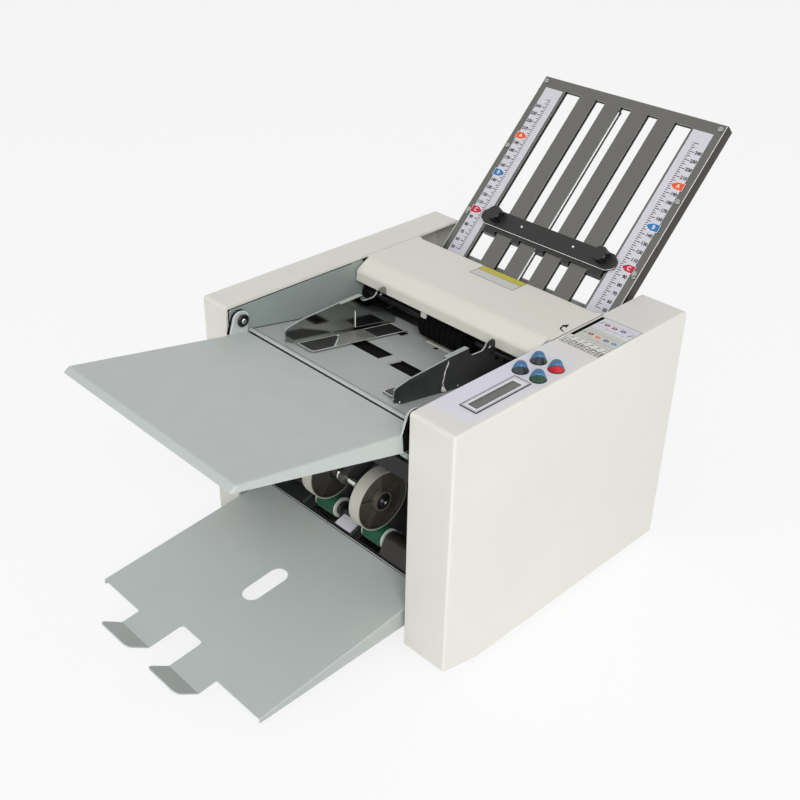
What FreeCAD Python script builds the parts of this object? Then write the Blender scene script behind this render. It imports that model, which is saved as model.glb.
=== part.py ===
import FreeCAD, Part
import math
import os
from FreeCAD import Vector

# Desk-top paper folding machine with two fold plates, in millimetres.
# Machine frame: x to the operator's right, from midway between the two housings;
# y to the rear, from the housings' front faces; z up, from the housings' lower edges.
# An incline has its own (x, s, n) frame: s runs along the sheet, n stands square off it.

# ---- driving dimensions: the body ----
INNER_GAP = 259.0            # clear width between the two housings
RIGHT_HOUSING_WIDTH = 52.5
LEFT_HOUSING_WIDTH = 38.5
HOUSING_DEPTH = 337.0
HOUSING_HEIGHT = 277.5
HOUSING_WALL = 2.5
HOUSING_EDGE = 2.5           # radius along the outer side's edges
FRAME_T = 3.0                # steel side plates
FRAME_INSET = 4.0            # side plates stand this far inside the housings' lower and rear edges
FRAME_GAP = 0.5              # and this far inside the front and top walls
RAKE_RISE = 11.5             # the lower front edge is cut back by this much ...
RAKE_RUN = 46.0              # ... over this length
FOOT_HEIGHT = 6.0
FOOT_SINK = 1.0              # the base stands this far above the housings' lower edges
FOOT_R = 11.0
FOOT_TAPER = 1.5
FOOT_POCKET = (4.5, 3.0)     # radius and depth of a foot's screw pocket
FOOT_INSET = (16.0, 18.0, 38.0)  # from the side plates, the rake and the rear
BASE_T = 1.5
BASE_FLANGE_TOP = 18.0       # upper edge of the base's side flanges
SCREW_R = 2.0                # foot screws
LUG = 8.0                    # moulded lugs that the housings hang on
VENT = (110.0, 8, 10.0, 4.0, 50.0, 92.0)  # first slot from the rear, count, pitch, width, z
SHEET = 1.2                  # tables and fold plates
RUNNING = 0.05               # radial clearance of a shaft in its bush
ROD_R = 5.0                  # tie rods and the guide rail
PIVOT_R = 3.0                # shoulders of the table's and tray's screws
STUD_R = 2.5                 # stop studs on the side plates
REAR_INSET = 14.0            # the rear panels, inside the housings' rear faces
PANEL_T = 1.5
APART = 0.3                  # gap between faces that move past each other

# ---- driving dimensions: paper feed ----
TABLE_LENGTH = 198.3
TABLE_SLOPE = 10.6           # degrees, front end high
TABLE_LIP = (5.2, 5.4)       # the front lip, forward and down
TABLE_SIDE_GAP = 4.0         # from a side plate to the table's side
TABLE_REAR_FLANGE = 18.5
TABLE_REAR = (19.0, 29.5)    # rear edge: y, and depth below the housings' tops
NIP_DROP = 69.66             # the first nip, below the housings' tops
BED_T = 1.5
BED_START = 6.0              # the bed's front edge, along the bed, and its outer bend
BED_BEND = 4.5
NIP_TO_REAR = 97.0           # from the first nip to the housings' rear faces
PAD_T = 1.0
PAD = (-22.0, 10.0, -9.0, 5.0)   # the pad's sides, and its ends from the feed roller's middle
CHANNEL = (8.0, 61.5, 20.0)  # cross channel: front face, top below the housings' tops, size
PIVOT_PLACE = (-6.5, 15.6)   # the table's pivot, from the table's rear edge
EAR_R = 9.2                  # round top of a pivot ear
EAR_TOP = 23.6
EAR_SPAN = (-19.3, -0.8)     # its front and rear edges at the top ...
EAR_FOOT = -22.0             # ... and its front edge at the table
RAIL_TO_NIP = 75.0           # the guides' rail, before the first nip along the bed ...
RAIL_DROP = 16.0             # ... and below it
BED_SKIRT = 14.0
LEFT_WINDOW = ((-54.0, -11.0), (77.5, 98.9))
RIGHT_WINDOW = ((3.0, 46.0), (76.5, 96.9))
BED_HOLE = (-4.0, 71.0, 3.0)     # x, distance before the first nip, radius
BED_SQUARE = ((14.0, 20.0), (62.0, 68.0))    # x, and distance before the first nip
FEED_ROLLER_R = 18.0
FEED_ROLLER_WIDTH = 60.0
FEED_TO_NIP = 56.5           # along the bed
GUIDE_X = 76.0               # the side guides' paper faces, where they stand at rest
GUIDE_FOOT = 27.0
GUIDE_FOOT_START = 23.5      # along the bed
GUIDE_TRAVEL = 30.0          # each way
STRAP = 5.0                  # half width of a guide's strap to its slider
GUIDE_T = 1.5
GUIDE_REAR_DROP = 38.0       # top of a guide's rear end, under the cover, below the tops
GUIDE_TAB = 28.4             # length of the bent tab on a guide's top edge

# ---- driving dimensions: rollers and drive ----
ROLLER_PITCH = 30.0          # centre distance of meshing fold rollers
SHAFT_R = 4.0
BUSH_R = 7.0
GEAR_TEETH = 20
GEAR_WIDTH = 8.0
GEAR_BACKLASH = 0.2
GEAR_HUB_R = 5.6
THIRD_ROLLER_ANGLE = 10.0    # of roller 3 as seen from roller 2, degrees
FOURTH_ROLLER_ANGLE = -100.0
BELT_T = 1.5
BELT_WIDTH = 6.0
PULLEY_TO_HUB = 2.9          # from the large pulley to the next roller's hub
SMALL_PULLEY_R = 9.0
MOTOR_R = 30.0
MOTOR_LENGTH = 95.0
MOTOR_SHELL = 12.0           # length of the motor's end bearings
ROTOR_R = 17.0
ROTOR_GAP = 0.8              # air gap round the rotor
MOTOR_X = 12.0               # the motor's face, from the left side plate
RIB = (14.0, 9, 8.0, 4.0, 1.5)   # first rib, count, pitch, width, height
BRACKET_T = 3.0
BRACKET_HALF = 34.0
MOTOR_PLACE = (62.0, 62.0)   # distance from the housings' rear, height

# ---- driving dimensions: fold plates ----
UPPER_SLOPE = 45.3
UPPER_LENGTH = 278.5
UPPER_OFFSET = (0.5, 27.3)   # ruler zero as seen from roller 3's centre
LOWER_SLOPE = -20.0
LOWER_LENGTH = 176.0
LOWER_OFFSET = (-4.8, -20.2)
PLATE_SIDE_GAP = 5.5         # from a side plate to a fold plate's flange
PLATE_FLANGE = 13.5
PAPER_GAP = 2.5
END_MARGIN = 12.5            # solid end of a fold plate, past its slots
MIDDLE_SLOT = 14.0
NEXT_SLOT = 13.5
OUTER_SLOT = 21.0
RULER_WIDTH = 24.4
RULER_MARGIN = 9.6
RULER_T = 0.6
RULER_START = 25.0
STOP_AT = 84.0               # the upper stop's lower edge, along the plate
STOP_DEPTH = 24.0
LOWER_STOP_AT = 100.0
LOWER_SLOTS = (40.0, LOWER_LENGTH - 8)
KNOB_R = 8.5
KNOB_HEIGHT = 9.0

# ---- driving dimensions: delivery ----
TRAY_FRONT = (-172.0, 33.5)  # front edge: y, z
TRAY_REAR = 33.0
TRAY_SLOPE = 6.1
TRAY_FLANGE_Z = (28.0, 30.5) # lower edge of the side flange, at the front and at y = 0
TRAY_SIDE_GAP = 1.1
TRAY_PIVOT = (27.0, 46.0)
TONGUE_REACH = 20.0
TONGUE_OUT = 62.5            # outer edge of a tongue, from the middle
TONGUE_IN = 16.5
HOOK_LENGTH = 27.0
HOOK_SLOPE = -35.0
HAND_HOLE_R = 10.5
HAND_HOLE_Y = (-81.8, -50.8) # centres of the hand hole's round ends
EXIT_X = 36.0                # the wheels' middle planes
WHEEL_R = 33.0
WHEEL_WIDTH = 14.0
EXIT_ROLLER_R = 12.0
EXIT_ROLLER_WIDTH = 26.0
EXIT_ROLLER_PLACE = (54.5, 64.8)
WHEEL_LEAN = 3.0             # degrees that the wheel leans forward of its roller
CHUTE_FRONT = (36.0, -7.4)   # front edge: y, and height from the exit shaft's underside
CHUTE_KINK = (68.0, 3.6)     # its bend, likewise
CHUTE_REACH = (20.0, 4.5)    # its rear edge: forward of and above roller 4's centre
CHUTE_WINDOW = (4.0, 15.5)   # past a roller's end, and before and behind its centre

# ---- driving dimensions: cover, panel and mains parts ----
COVER_FRONT_TO_NIP = 71.0
COVER_PAST_NIP = 27.0
COVER_T = 2.5
COVER_SIDE_GAP = 2.0         # from a side plate to the cover's side wall
COVER_WING_GAP = 0.8         # from a housing to the cover's top
HINGE_DROP = 15.5            # the cover's hinge pins, below the housings' tops
HINGE_FORWARD = 7.0          # and forward of the cover's rear edge
DISPLAY_FROM_WALL = (20.3, 38.8)   # its sides, from the housing's inner edge
DISPLAY_Y = (39.8, 111.0)
DISPLAY_RISE = 0.9
BUTTON_FROM_WALL = (16.8, 37.5)
BUTTON_Y = (122.7, 148.0)
BUTTON_R = 7.9
BUTTON_RISE = 9.5
BUTTON_TIP_R = 4.0            # the dome's end before it is rounded
BUTTON_TRAVEL = 1.5
BOARD_DROP = 10.0            # the control board's top, below the housings' tops
INLET_FROM_WALL = (11.5, 41.5)
INLET_Z = (36.0, 104.0)
ROCKER_TILT = 12.0

# ---- places worked out from the driving dimensions ----
WALL_X = INNER_GAP / 2                       # the housings' inner edges
FRAME_X = WALL_X - FRAME_T                   # the side plates' inner faces
TOP = HOUSING_HEIGHT
NIP_Y = HOUSING_DEPTH - NIP_TO_REAR
BED_ZERO = (TABLE_REAR[0], TOP - TABLE_REAR[1])
BED_RUN = NIP_Y - BED_ZERO[0]
BED_SLOPE = math.degrees(math.atan((NIP_DROP - TABLE_REAR[1]) / BED_RUN))
NIP_S = BED_RUN / math.cos(math.radians(BED_SLOPE))
PLATE_X = FRAME_X - PLATE_SIDE_GAP
RULER_OUT = PLATE_X - RULER_MARGIN
RULER_IN = RULER_OUT - RULER_WIDTH
SLOT_END = RULER_IN - 3.0
SLAT = (SLOT_END - MIDDLE_SLOT / 2 - NEXT_SLOT - OUTER_SLOT) / 2
NEXT_SLOT_IN = MIDDLE_SLOT / 2 + SLAT
KNOB_X = SLOT_END - OUTER_SLOT / 2
BACK_SHEET = SHEET + PAPER_GAP               # depth of the back sheet's front face
TRAY_X = FRAME_X - TRAY_SIDE_GAP
RAIL_PLACE = (NIP_S - RAIL_TO_NIP, -RAIL_DROP)
COVER_X = FRAME_X - COVER_SIDE_GAP
COVER_FRONT = NIP_Y - COVER_FRONT_TO_NIP
COVER_REAR = NIP_Y + COVER_PAST_NIP
HINGE = (COVER_REAR - HINGE_FORWARD, TOP - HINGE_DROP)
DISPLAY = (tuple(WALL_X + x for x in DISPLAY_FROM_WALL), DISPLAY_Y)
BUTTON_X = tuple(WALL_X + x for x in BUTTON_FROM_WALL)
INLET_X = tuple(WALL_X + x for x in INLET_FROM_WALL)
X_AXIS = Vector(1, 0, 0)


# ---- small geometry helpers ----
def block(x, y, z):
    """Box between the low and high values of each pair."""
    return Part.makeBox(x[1] - x[0], y[1] - y[0], z[1] - z[0], Vector(x[0], y[0], z[0]))


def rod(centre, radius, x):
    """Round bar along X about centre (y, z)."""
    return Part.makeCylinder(radius, x[1] - x[0], Vector(x[0], centre[0], centre[1]), X_AXIS)


def post(x, y, radius, z):
    """Round bar along Z."""
    return Part.makeCylinder(radius, z[1] - z[0], Vector(x, y, z[0]))


def corner_arc(before, corner, after, radius):
    """Start, middle and end of the arc that rounds a corner."""
    back = (before - corner).normalize()
    ahead = (after - corner).normalize()
    half = back.getAngle(ahead) / 2
    reach = radius / math.tan(half)
    inward = (back + ahead).normalize()
    middle = corner + inward * (radius / math.sin(half) - radius)
    return corner + back * reach, middle, corner + ahead * reach


def outline_face(corners, radii):
    """Flat face through the corners, each rounded by its radius."""
    count = len(corners)
    runs = []
    for i, radius in enumerate(radii):
        corner = corners[i]
        ahead = corners[(i + 1) % count]
        runs.append(corner_arc(corners[i - 1], corner, ahead, radius) if radius else (corner,))
    edges = []
    for i, run in enumerate(runs):
        if len(run) == 3:
            edges.append(Part.Arc(*run).toShape())
        start = run[-1]
        end = runs[(i + 1) % count][0]
        if start.distanceToPoint(end) > 1e-6:
            edges.append(Part.makeLine(start, end))
    return Part.Face(Part.Wire(edges))


def across(points, x):
    """Prism along X of an outline of (y, z) or (y, z, corner radius) points."""
    corners = [Vector(x[0], point[0], point[1]) for point in points]
    radii = [point[2] if len(point) > 2 else 0 for point in points]
    return outline_face(corners, radii).extrude(Vector(x[1] - x[0], 0, 0))


def upward(points, z):
    """Prism along Z of an outline of (x, y) or (x, y, corner radius) points."""
    corners = [Vector(point[0], point[1], z[0]) for point in points]
    radii = [point[2] if len(point) > 2 else 0 for point in points]
    return outline_face(corners, radii).extrude(Vector(0, 0, z[1] - z[0]))


def inclined(shape, zero, degrees):
    """Tilt a shape about X and carry its origin to zero (y, z)."""
    tilted = shape.copy()
    tilted.rotate(Vector(), X_AXIS, degrees)
    tilted.translate(Vector(0, zero[0], zero[1]))
    return tilted


def along(zero, degrees, s, n):
    """The (y, z) place of an incline's point (s, n)."""
    turn = math.radians(degrees)
    y = zero[0] + s * math.cos(turn) - n * math.sin(turn)
    z = zero[1] + s * math.sin(turn) + n * math.cos(turn)
    return y, z


def mirrored(shape):
    return shape.mirror(Vector(), X_AXIS)


def both_sides(shape):
    return [shape, mirrored(shape)]


def joined(shapes):
    return shapes[0].fuse(shapes[1:]).removeSplitter()


def group(shapes):
    return Part.makeCompound(shapes)


def polar(centre, radius, degrees):
    turn = math.radians(degrees)
    return centre[0] + radius * math.cos(turn), centre[1] + radius * math.sin(turn)


def loop_solid(centre_a, radius_a, centre_b, radius_b, x):
    """Solid inside a loop pulled tight round two circles in the YZ plane."""
    gap = math.dist(centre_a, centre_b)
    heading = math.degrees(math.atan2(centre_b[1] - centre_a[1], centre_b[0] - centre_a[0]))
    lean = math.degrees(math.acos((radius_a - radius_b) / gap))
    ends = [(centre_a, radius_a, lean), (centre_b, radius_b, lean),
            (centre_b, radius_b, -lean), (centre_a, radius_a, -lean)]
    bridge = across([polar(c, r, heading + turn) for c, r, turn in ends], x)
    return joined([bridge, rod(centre_a, radius_a, x), rod(centre_b, radius_b, x)])


# ---- centres of the shafts ----
FIRST_NIP = along(BED_ZERO, -BED_SLOPE, NIP_S, 0)
ROLLER_1 = polar(FIRST_NIP, ROLLER_PITCH / 2, 90 - BED_SLOPE)
ROLLER_2 = polar(FIRST_NIP, ROLLER_PITCH / 2, -90 - BED_SLOPE)
ROLLER_3 = polar(ROLLER_2, ROLLER_PITCH, THIRD_ROLLER_ANGLE)
ROLLER_4 = polar(ROLLER_2, ROLLER_PITCH, FOURTH_ROLLER_ANGLE)
FEED_SHAFT = along(BED_ZERO, -BED_SLOPE, NIP_S - FEED_TO_NIP, FEED_ROLLER_R + PAD_T + APART)
EXIT_SHAFT = EXIT_ROLLER_PLACE
WHEEL_SHAFT = polar(EXIT_SHAFT, WHEEL_R + EXIT_ROLLER_R + APART, 90 + WHEEL_LEAN)
MOTOR_SHAFT = (HOUSING_DEPTH - MOTOR_PLACE[0], MOTOR_PLACE[1])
UPPER_ZERO = (ROLLER_3[0] + UPPER_OFFSET[0], ROLLER_3[1] + UPPER_OFFSET[1])
LOWER_ZERO = (ROLLER_3[0] + LOWER_OFFSET[0], ROLLER_3[1] + LOWER_OFFSET[1])
TABLE_PIVOT = (BED_ZERO[0] + PIVOT_PLACE[0], BED_ZERO[1] + PIVOT_PLACE[1])
BUSHED_SHAFTS = [ROLLER_1, ROLLER_2, ROLLER_3, ROLLER_4, FEED_SHAFT, EXIT_SHAFT]
GEAR_X = (-WALL_X - 3 - GEAR_WIDTH, -WALL_X - 3)
PULLEY_WIDTH = BELT_WIDTH + 2.6
LARGE_PULLEY_R = ROLLER_PITCH - GEAR_HUB_R - PULLEY_TO_HUB
NEAR_PULLEY = (GEAR_X[0] - PULLEY_WIDTH, GEAR_X[0])
FAR_PULLEY = (NEAR_PULLEY[0] - PULLEY_WIDTH - 0.5, NEAR_PULLEY[0] - 0.5)
TIE_RODS = [(100.0, 128.0), (FEED_SHAFT[0] + 20, 24.0), (HOUSING_DEPTH - 36, 112.0)]
GUIDE_RAIL = along(BED_ZERO, -BED_SLOPE, *RAIL_PLACE)
EXPORTED = {}


def add(name, shape):
    EXPORTED[name] = shape


# ---- frame and housings ----
def frame_outline():
    front = HOUSING_WALL + FRAME_GAP
    rear = HOUSING_DEPTH - FRAME_INSET - HOUSING_WALL
    top = TOP - HOUSING_WALL - FRAME_GAP
    under_cover = TOP - HOUSING_WALL - FRAME_INSET
    cover_y = COVER_FRONT + 12
    step_y = HINGE[0] + 8
    step_z = UPPER_ZERO[1] + 22
    return [(front, RAKE_RISE + FRAME_INSET, 4), (RAKE_RUN, FRAME_INSET, 8),
            (rear, FRAME_INSET, 5), (rear, step_z, 8), (step_y, step_z, 3),
            (step_y, under_cover, 4), (cover_y, under_cover, 1), (cover_y, top, 1),
            (front, top, 2)]


def side_frame(mains_side):
    """Steel side plate with its bush seats, screw holes and the tray's stop stud."""
    plate = across(frame_outline(), (FRAME_X, WALL_X))
    span = (FRAME_X - 1, WALL_X + 1)
    cuts = [rod(centre, BUSH_R, span) for centre in BUSHED_SHAFTS]
    cuts.append(rod(HINGE, PIVOT_R + RUNNING, span))
    cuts += [rod(centre, PIVOT_R - 0.5, span) for centre in (TABLE_PIVOT, TRAY_PIVOT)]
    cuts += [rod(centre, 2.5, span) for centre in TIE_RODS + [GUIDE_RAIL]]
    if not mains_side:
        cuts.append(rod(MOTOR_SHAFT, SHAFT_R + 2, span))
    stop = rod(tray_stop_place(), STUD_R, (TRAY_X - 4, FRAME_X))
    table_stop = rod(table_stop_place(), STUD_R, (table_half() - 4, FRAME_X))
    return joined([plate.cut(cuts), stop, table_stop])


def housing_face(x):
    points = [(0, RAKE_RISE, 3), (RAKE_RUN, 0, 12), (HOUSING_DEPTH, 0, 5),
              (HOUSING_DEPTH, TOP, 5.5), (0, TOP, 3.5)]
    corners = [Vector(x, point[0], point[1]) for point in points]
    return outline_face(corners, [point[2] for point in points])


def housing_shell(width):
    """Moulded half-shell that covers a side plate, open towards it."""
    outer = housing_face(WALL_X).extrude(Vector(width, 0, 0))
    rim = [edge for edge in outer.Edges if edge.BoundBox.XMin > WALL_X + width - 0.01]
    outer = outer.makeFillet(HOUSING_EDGE, rim)
    hollow = housing_face(WALL_X).makeOffset2D(-HOUSING_WALL)
    shell = outer.cut(hollow.extrude(Vector(width - HOUSING_WALL, 0, 0)))
    middle = HOUSING_DEPTH / 2
    lugs = [block((WALL_X, WALL_X + LUG), (y - 6, y + 6), (HOUSING_WALL, HOUSING_WALL + LUG))
            for y in (RAKE_RUN + 14, middle, HOUSING_DEPTH - 40)]
    return joined([shell] + lugs)


def button_places():
    return [(x, y) for x in BUTTON_X for y in BUTTON_Y]


def right_housing():
    """Control-side housing, with the panel's holes and the mains module's window."""
    shell = housing_shell(RIGHT_HOUSING_WIDTH)
    wall = (TOP - HOUSING_WALL - 1, TOP + 1)
    (left, right), (near, far) = DISPLAY
    cuts = [block((left + 4, right - 4), (near + 4, far - 4), wall)]
    cuts += [post(x, y, BUTTON_R + APART, wall) for x, y in button_places()]
    cuts.append(block((INLET_X[0] + 3, INLET_X[1] - 3),
                      (HOUSING_DEPTH - HOUSING_WALL - 1, HOUSING_DEPTH + 1),
                      (INLET_Z[0] + 3, INLET_Z[1] - 3)))
    board_top = TOP - BOARD_DROP
    bosses = [post(x, y, 2.5, (board_top, TOP - HOUSING_WALL)) for x, y in board_corners()]
    return joined([shell.cut(cuts)] + bosses)


def left_housing():
    """Drive-side housing, with cooling slots in its outer face."""
    shell = mirrored(housing_shell(LEFT_HOUSING_WIDTH))
    outer = -WALL_X - LEFT_HOUSING_WIDTH
    from_rear, count, pitch, width, low, high = VENT
    slots = []
    for i in range(count):
        y = HOUSING_DEPTH - from_rear + pitch * i
        slots.append(block((outer - 1, outer + HOUSING_WALL + 1), (y, y + width), (low, high)))
    return shell.cut(slots)


def base_plate():
    rear = HOUSING_DEPTH - 20
    floor = block((-FRAME_X, FRAME_X), (RAKE_RUN + 2, rear), (FOOT_SINK, FOOT_SINK + BASE_T))
    flange = block((FRAME_X - BASE_T, FRAME_X), (RAKE_RUN + 2, rear - 10),
                   (FOOT_SINK, BASE_FLANGE_TOP))
    holes = [post(x, y, SCREW_R, (0, FOOT_SINK + BASE_T + 2)) for x, y in foot_places()]
    return joined([floor, motor_bracket()] + both_sides(flange)).cut(holes)


def foot_places():
    side, front, rear = FOOT_INSET
    return [(x, y) for x in (-FRAME_X + side, FRAME_X - side)
            for y in (RAKE_RUN + front, HOUSING_DEPTH - rear)]


def rubber_feet():
    """Four turned rubber feet, each with a pocket for its screw."""
    feet = []
    for x, y in foot_places():
        low = FOOT_SINK - FOOT_HEIGHT
        foot = Part.makeCone(FOOT_R - FOOT_TAPER, FOOT_R, FOOT_HEIGHT, Vector(x, y, low))
        pocket = post(x, y, FOOT_POCKET[0], (low, low + FOOT_POCKET[1]))
        feet.append(foot.cut([pocket, post(x, y, SCREW_R, (low, FOOT_SINK))]))
    return group(feet)


def rear_panels():
    """Sheets that close the rear below and above the lower fold plate."""
    y = (HOUSING_DEPTH - REAR_INSET - PANEL_T, HOUSING_DEPTH - REAR_INSET)
    plate_low = along(LOWER_ZERO, LOWER_SLOPE, (y[1] - LOWER_ZERO[0]) / math.cos(
        math.radians(LOWER_SLOPE)), -PLATE_FLANGE)[1]
    plate_top = plate_low + PLATE_FLANGE + 10
    spans = [(FRAME_INSET, plate_low - 3), (plate_top, UPPER_ZERO[1] + 21)]
    panels = []
    for low, high in spans:
        sheet = block((-FRAME_X, FRAME_X), y, (low, high))
        tab = block((FRAME_X - PANEL_T, FRAME_X), (y[0] - 12, y[1]), (low, high))
        panels.append(joined([sheet] + both_sides(tab)))
    return panels


def tie_rods():
    """Round bars that space the side plates, the last one carrying the side guides."""
    return group([rod(centre, ROD_R, (-FRAME_X, FRAME_X)) for centre in TIE_RODS + [GUIDE_RAIL]])


def cross_channel():
    """Folded channel behind the feed table's rear edge."""
    front, top, size = CHANNEL
    low = TOP - top - size
    outer = block((-FRAME_X, FRAME_X), (front, front + size), (low, TOP - top))
    inner = block((-FRAME_X, FRAME_X), (front + PANEL_T, front + size - PANEL_T),
                  (low - 1, TOP - top - PANEL_T))
    return outer.cut(inner)


# ---- feed table, bed and side guides ----
def table_half():
    return FRAME_X - TABLE_SIDE_GAP


def table_stop_place():
    """Stop stud under the table's side flange, just ahead of its rear end."""
    under = along(BED_ZERO, -TABLE_SLOPE, -13, -TABLE_REAR_FLANGE - APART - STUD_R)
    return under


def feed_table():
    """Folded sheet table: top, front and side flanges, and two pivot ears."""
    half = table_half()
    lip_s, lip_n = -TABLE_LENGTH - TABLE_LIP[0], -TABLE_LIP[1]
    side = [(-TABLE_LENGTH, 0, 3), (lip_s, lip_n), (-18, -TABLE_REAR_FLANGE),
            (-8, -TABLE_REAR_FLANGE, 3), (0, -9), (0, 0)]
    body = across(side, (-half, half))
    long_edges = [edge for edge in body.Edges
                  if edge.BoundBox.ZMin > -0.01 and edge.BoundBox.YLength > TABLE_LENGTH / 2]
    body = body.makeFillet(2.5, long_edges)
    inside = [(-TABLE_LENGTH + SHEET / 2, -SHEET, 1.8), (lip_s + 0.7 * SHEET, lip_n - 0.7 * SHEET),
              (lip_s + 0.7 * SHEET, -40), (2, -40), (2, -SHEET)]
    hollow = across(inside, (-half + SHEET, half - SHEET))
    hollow_edges = [edge for edge in hollow.Edges
                    if edge.BoundBox.ZMin > -SHEET - 0.01 and edge.BoundBox.YLength > 50]
    body = body.cut(hollow.makeFillet(1.3, hollow_edges))
    front, rear = EAR_SPAN
    ear = across([(EAR_FOOT, 3 - TABLE_REAR_FLANGE), (EAR_FOOT, 0), (front, EAR_TOP, EAR_R),
                  (rear, EAR_TOP, EAR_R), (0, 0), (0, -9), (-7, 3 - TABLE_REAR_FLANGE)],
                 (half - SHEET, half))
    table = inclined(joined([body] + both_sides(ear)), BED_ZERO, -TABLE_SLOPE)
    return table.cut(rod(TABLE_PIVOT, PIVOT_R + RUNNING, (-FRAME_X, FRAME_X)))


def feed_bed():
    """Folded sheet bed that slopes down to the first nip, with its windows."""
    end = NIP_S - 14
    half = FRAME_X
    low = -BED_SKIRT
    outer = across([(BED_START, 0, BED_BEND), (BED_START, low), (end, low), (end, 0)],
                   (-half, half))
    sides = [edge for edge in outer.Edges
             if edge.BoundBox.ZMin > -BED_BEND - 0.01 and edge.BoundBox.XLength < 0.01]
    outer = outer.makeFillet(BED_T, sides)
    inside = across([(BED_START + BED_T, -BED_T, BED_BEND - BED_T), (BED_START + BED_T, low - 1),
                     (end + 1, low - 1), (end + 1, -BED_T)], (-half + BED_T, half - BED_T))
    deep = (-BED_T - 1, 1)
    guide_slots = both_sides(block((GUIDE_X - GUIDE_TRAVEL - 1, GUIDE_X + GUIDE_T + GUIDE_TRAVEL + 1),
                                   (RAIL_PLACE[0] - STRAP - 1, RAIL_PLACE[0] + STRAP + 1), deep))
    windows = [block(*LEFT_WINDOW, deep), block(*RIGHT_WINDOW, deep)]
    windows.append(post(BED_HOLE[0], NIP_S - BED_HOLE[1], BED_HOLE[2], deep))
    square = BED_SQUARE[1]
    windows.append(block(BED_SQUARE[0], (NIP_S - square[1], NIP_S - square[0]), deep))
    relief = rod(RAIL_PLACE, ROD_R + 1, (-half - 1, half + 1))
    return inclined(outer.cut([inside, relief] + windows + guide_slots), BED_ZERO, -BED_SLOPE)


def separator_pad():
    """Friction strip on the bed under the feed roller."""
    s = NIP_S - FEED_TO_NIP
    left, right, near, far = PAD
    return inclined(block((left, right), (s + near, s + far), (0, PAD_T)), BED_ZERO, -BED_SLOPE)


def guide_height(y):
    """Height of the bed's top face at y, in the machine frame."""
    return BED_ZERO[1] - (y - BED_ZERO[0]) * math.tan(math.radians(BED_SLOPE))


def side_guide():
    """Right-hand side guide: plate, foot, top tab, and the strap down to its slider."""
    front = BED_ZERO[0] + 12
    rear = FEED_SHAFT[0] - SHAFT_R - 2
    ear = COVER_FRONT - 10.6
    tab = (ear - 29 - GUIDE_TAB, ear - 29)
    top = TOP - 8
    lift = APART + 0.2
    shoulder = front + (tab[0] - front) / 3.5
    foot_y = BED_ZERO[0] + GUIDE_FOOT_START
    points = [(front, guide_height(front) + 4), (front + 1, TOP - 14, 3),
              (shoulder, TOP - 10.5, 20), (tab[0] - 1, top - 0.5), (tab[1], top, 2),
              (ear - 27, TOP - 17, 6), (ear - 5, TOP - 19, 8), (ear - 3, TOP - 10, 5),
              (ear + 9, TOP - 10, 6), (ear + 10, TOP - GUIDE_REAR_DROP, 2), (rear, TOP - GUIDE_REAR_DROP),
              (rear, guide_height(rear) + lift), (foot_y, guide_height(foot_y) + lift)]
    plate = across(points, (GUIDE_X, GUIDE_X + GUIDE_T))
    plate = plate.cut(rod((ear + 1, TOP - 17), 2, (GUIDE_X - 1, GUIDE_X + 3)))
    lip = block((GUIDE_X - 4, GUIDE_X + GUIDE_T), tab, (top - 1.5, top))
    foot = upward([(GUIDE_X + GUIDE_T, GUIDE_FOOT_START), (GUIDE_X + GUIDE_T, NIP_S - 68),
                   (GUIDE_X - GUIDE_FOOT, NIP_S - 68), (GUIDE_X - GUIDE_FOOT, GUIDE_FOOT_START, 4)],
                  (lift, lift + GUIDE_T))
    rail_s, rail_n = RAIL_PLACE
    strap = block((GUIDE_X, GUIDE_X + GUIDE_T), (rail_s - STRAP, rail_s + STRAP), (rail_n, lift + 1))
    slider = block((GUIDE_X - 12, GUIDE_X + 12), (rail_s - 8, rail_s + 8), (rail_n - 8, rail_n + 8))
    hanger = joined([strap, slider]).cut(rod(RAIL_PLACE, ROD_R + RUNNING, (0, FRAME_X)))
    return joined([plate, lip] + [inclined(one, BED_ZERO, -BED_SLOPE) for one in (foot, hanger)])


# ---- shafts, rollers, gears, pulleys and belts ----
def shaft_bushes():
    """Flanged bushes that carry the shafts in both side plates."""
    bushes = []
    for centre in BUSHED_SHAFTS:
        body = rod(centre, BUSH_R, (FRAME_X - 1.2, WALL_X + 1))
        flange = rod(centre, BUSH_R + 2, (FRAME_X - 1.2, FRAME_X))
        bore = rod(centre, SHAFT_R + RUNNING, (FRAME_X - 2, WALL_X + 2))
        bushes += both_sides(body.fuse(flange).cut(bore))
    return group(bushes)


def shaft(centre, left, right):
    return rod(centre, SHAFT_R, (left, right))


def fold_roller(centre, left):
    """Ground steel roller with a shallow groove near each end, on its own journals."""
    half = FRAME_X - 3.5
    barrel = rod(centre, ROLLER_PITCH / 2 - APART / 2, (-half, half))
    groove_r = ROLLER_PITCH / 2 - 1.2
    for x in (-half + 12, half - 14):
        ring = rod(centre, ROLLER_PITCH, (x, x + 2)).cut(rod(centre, groove_r, (x - 1, x + 3)))
        barrel = barrel.cut(ring)
    return joined([barrel, shaft(centre, left, WALL_X + 3)])


def involute(angle):
    return math.tan(angle) - angle


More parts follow.
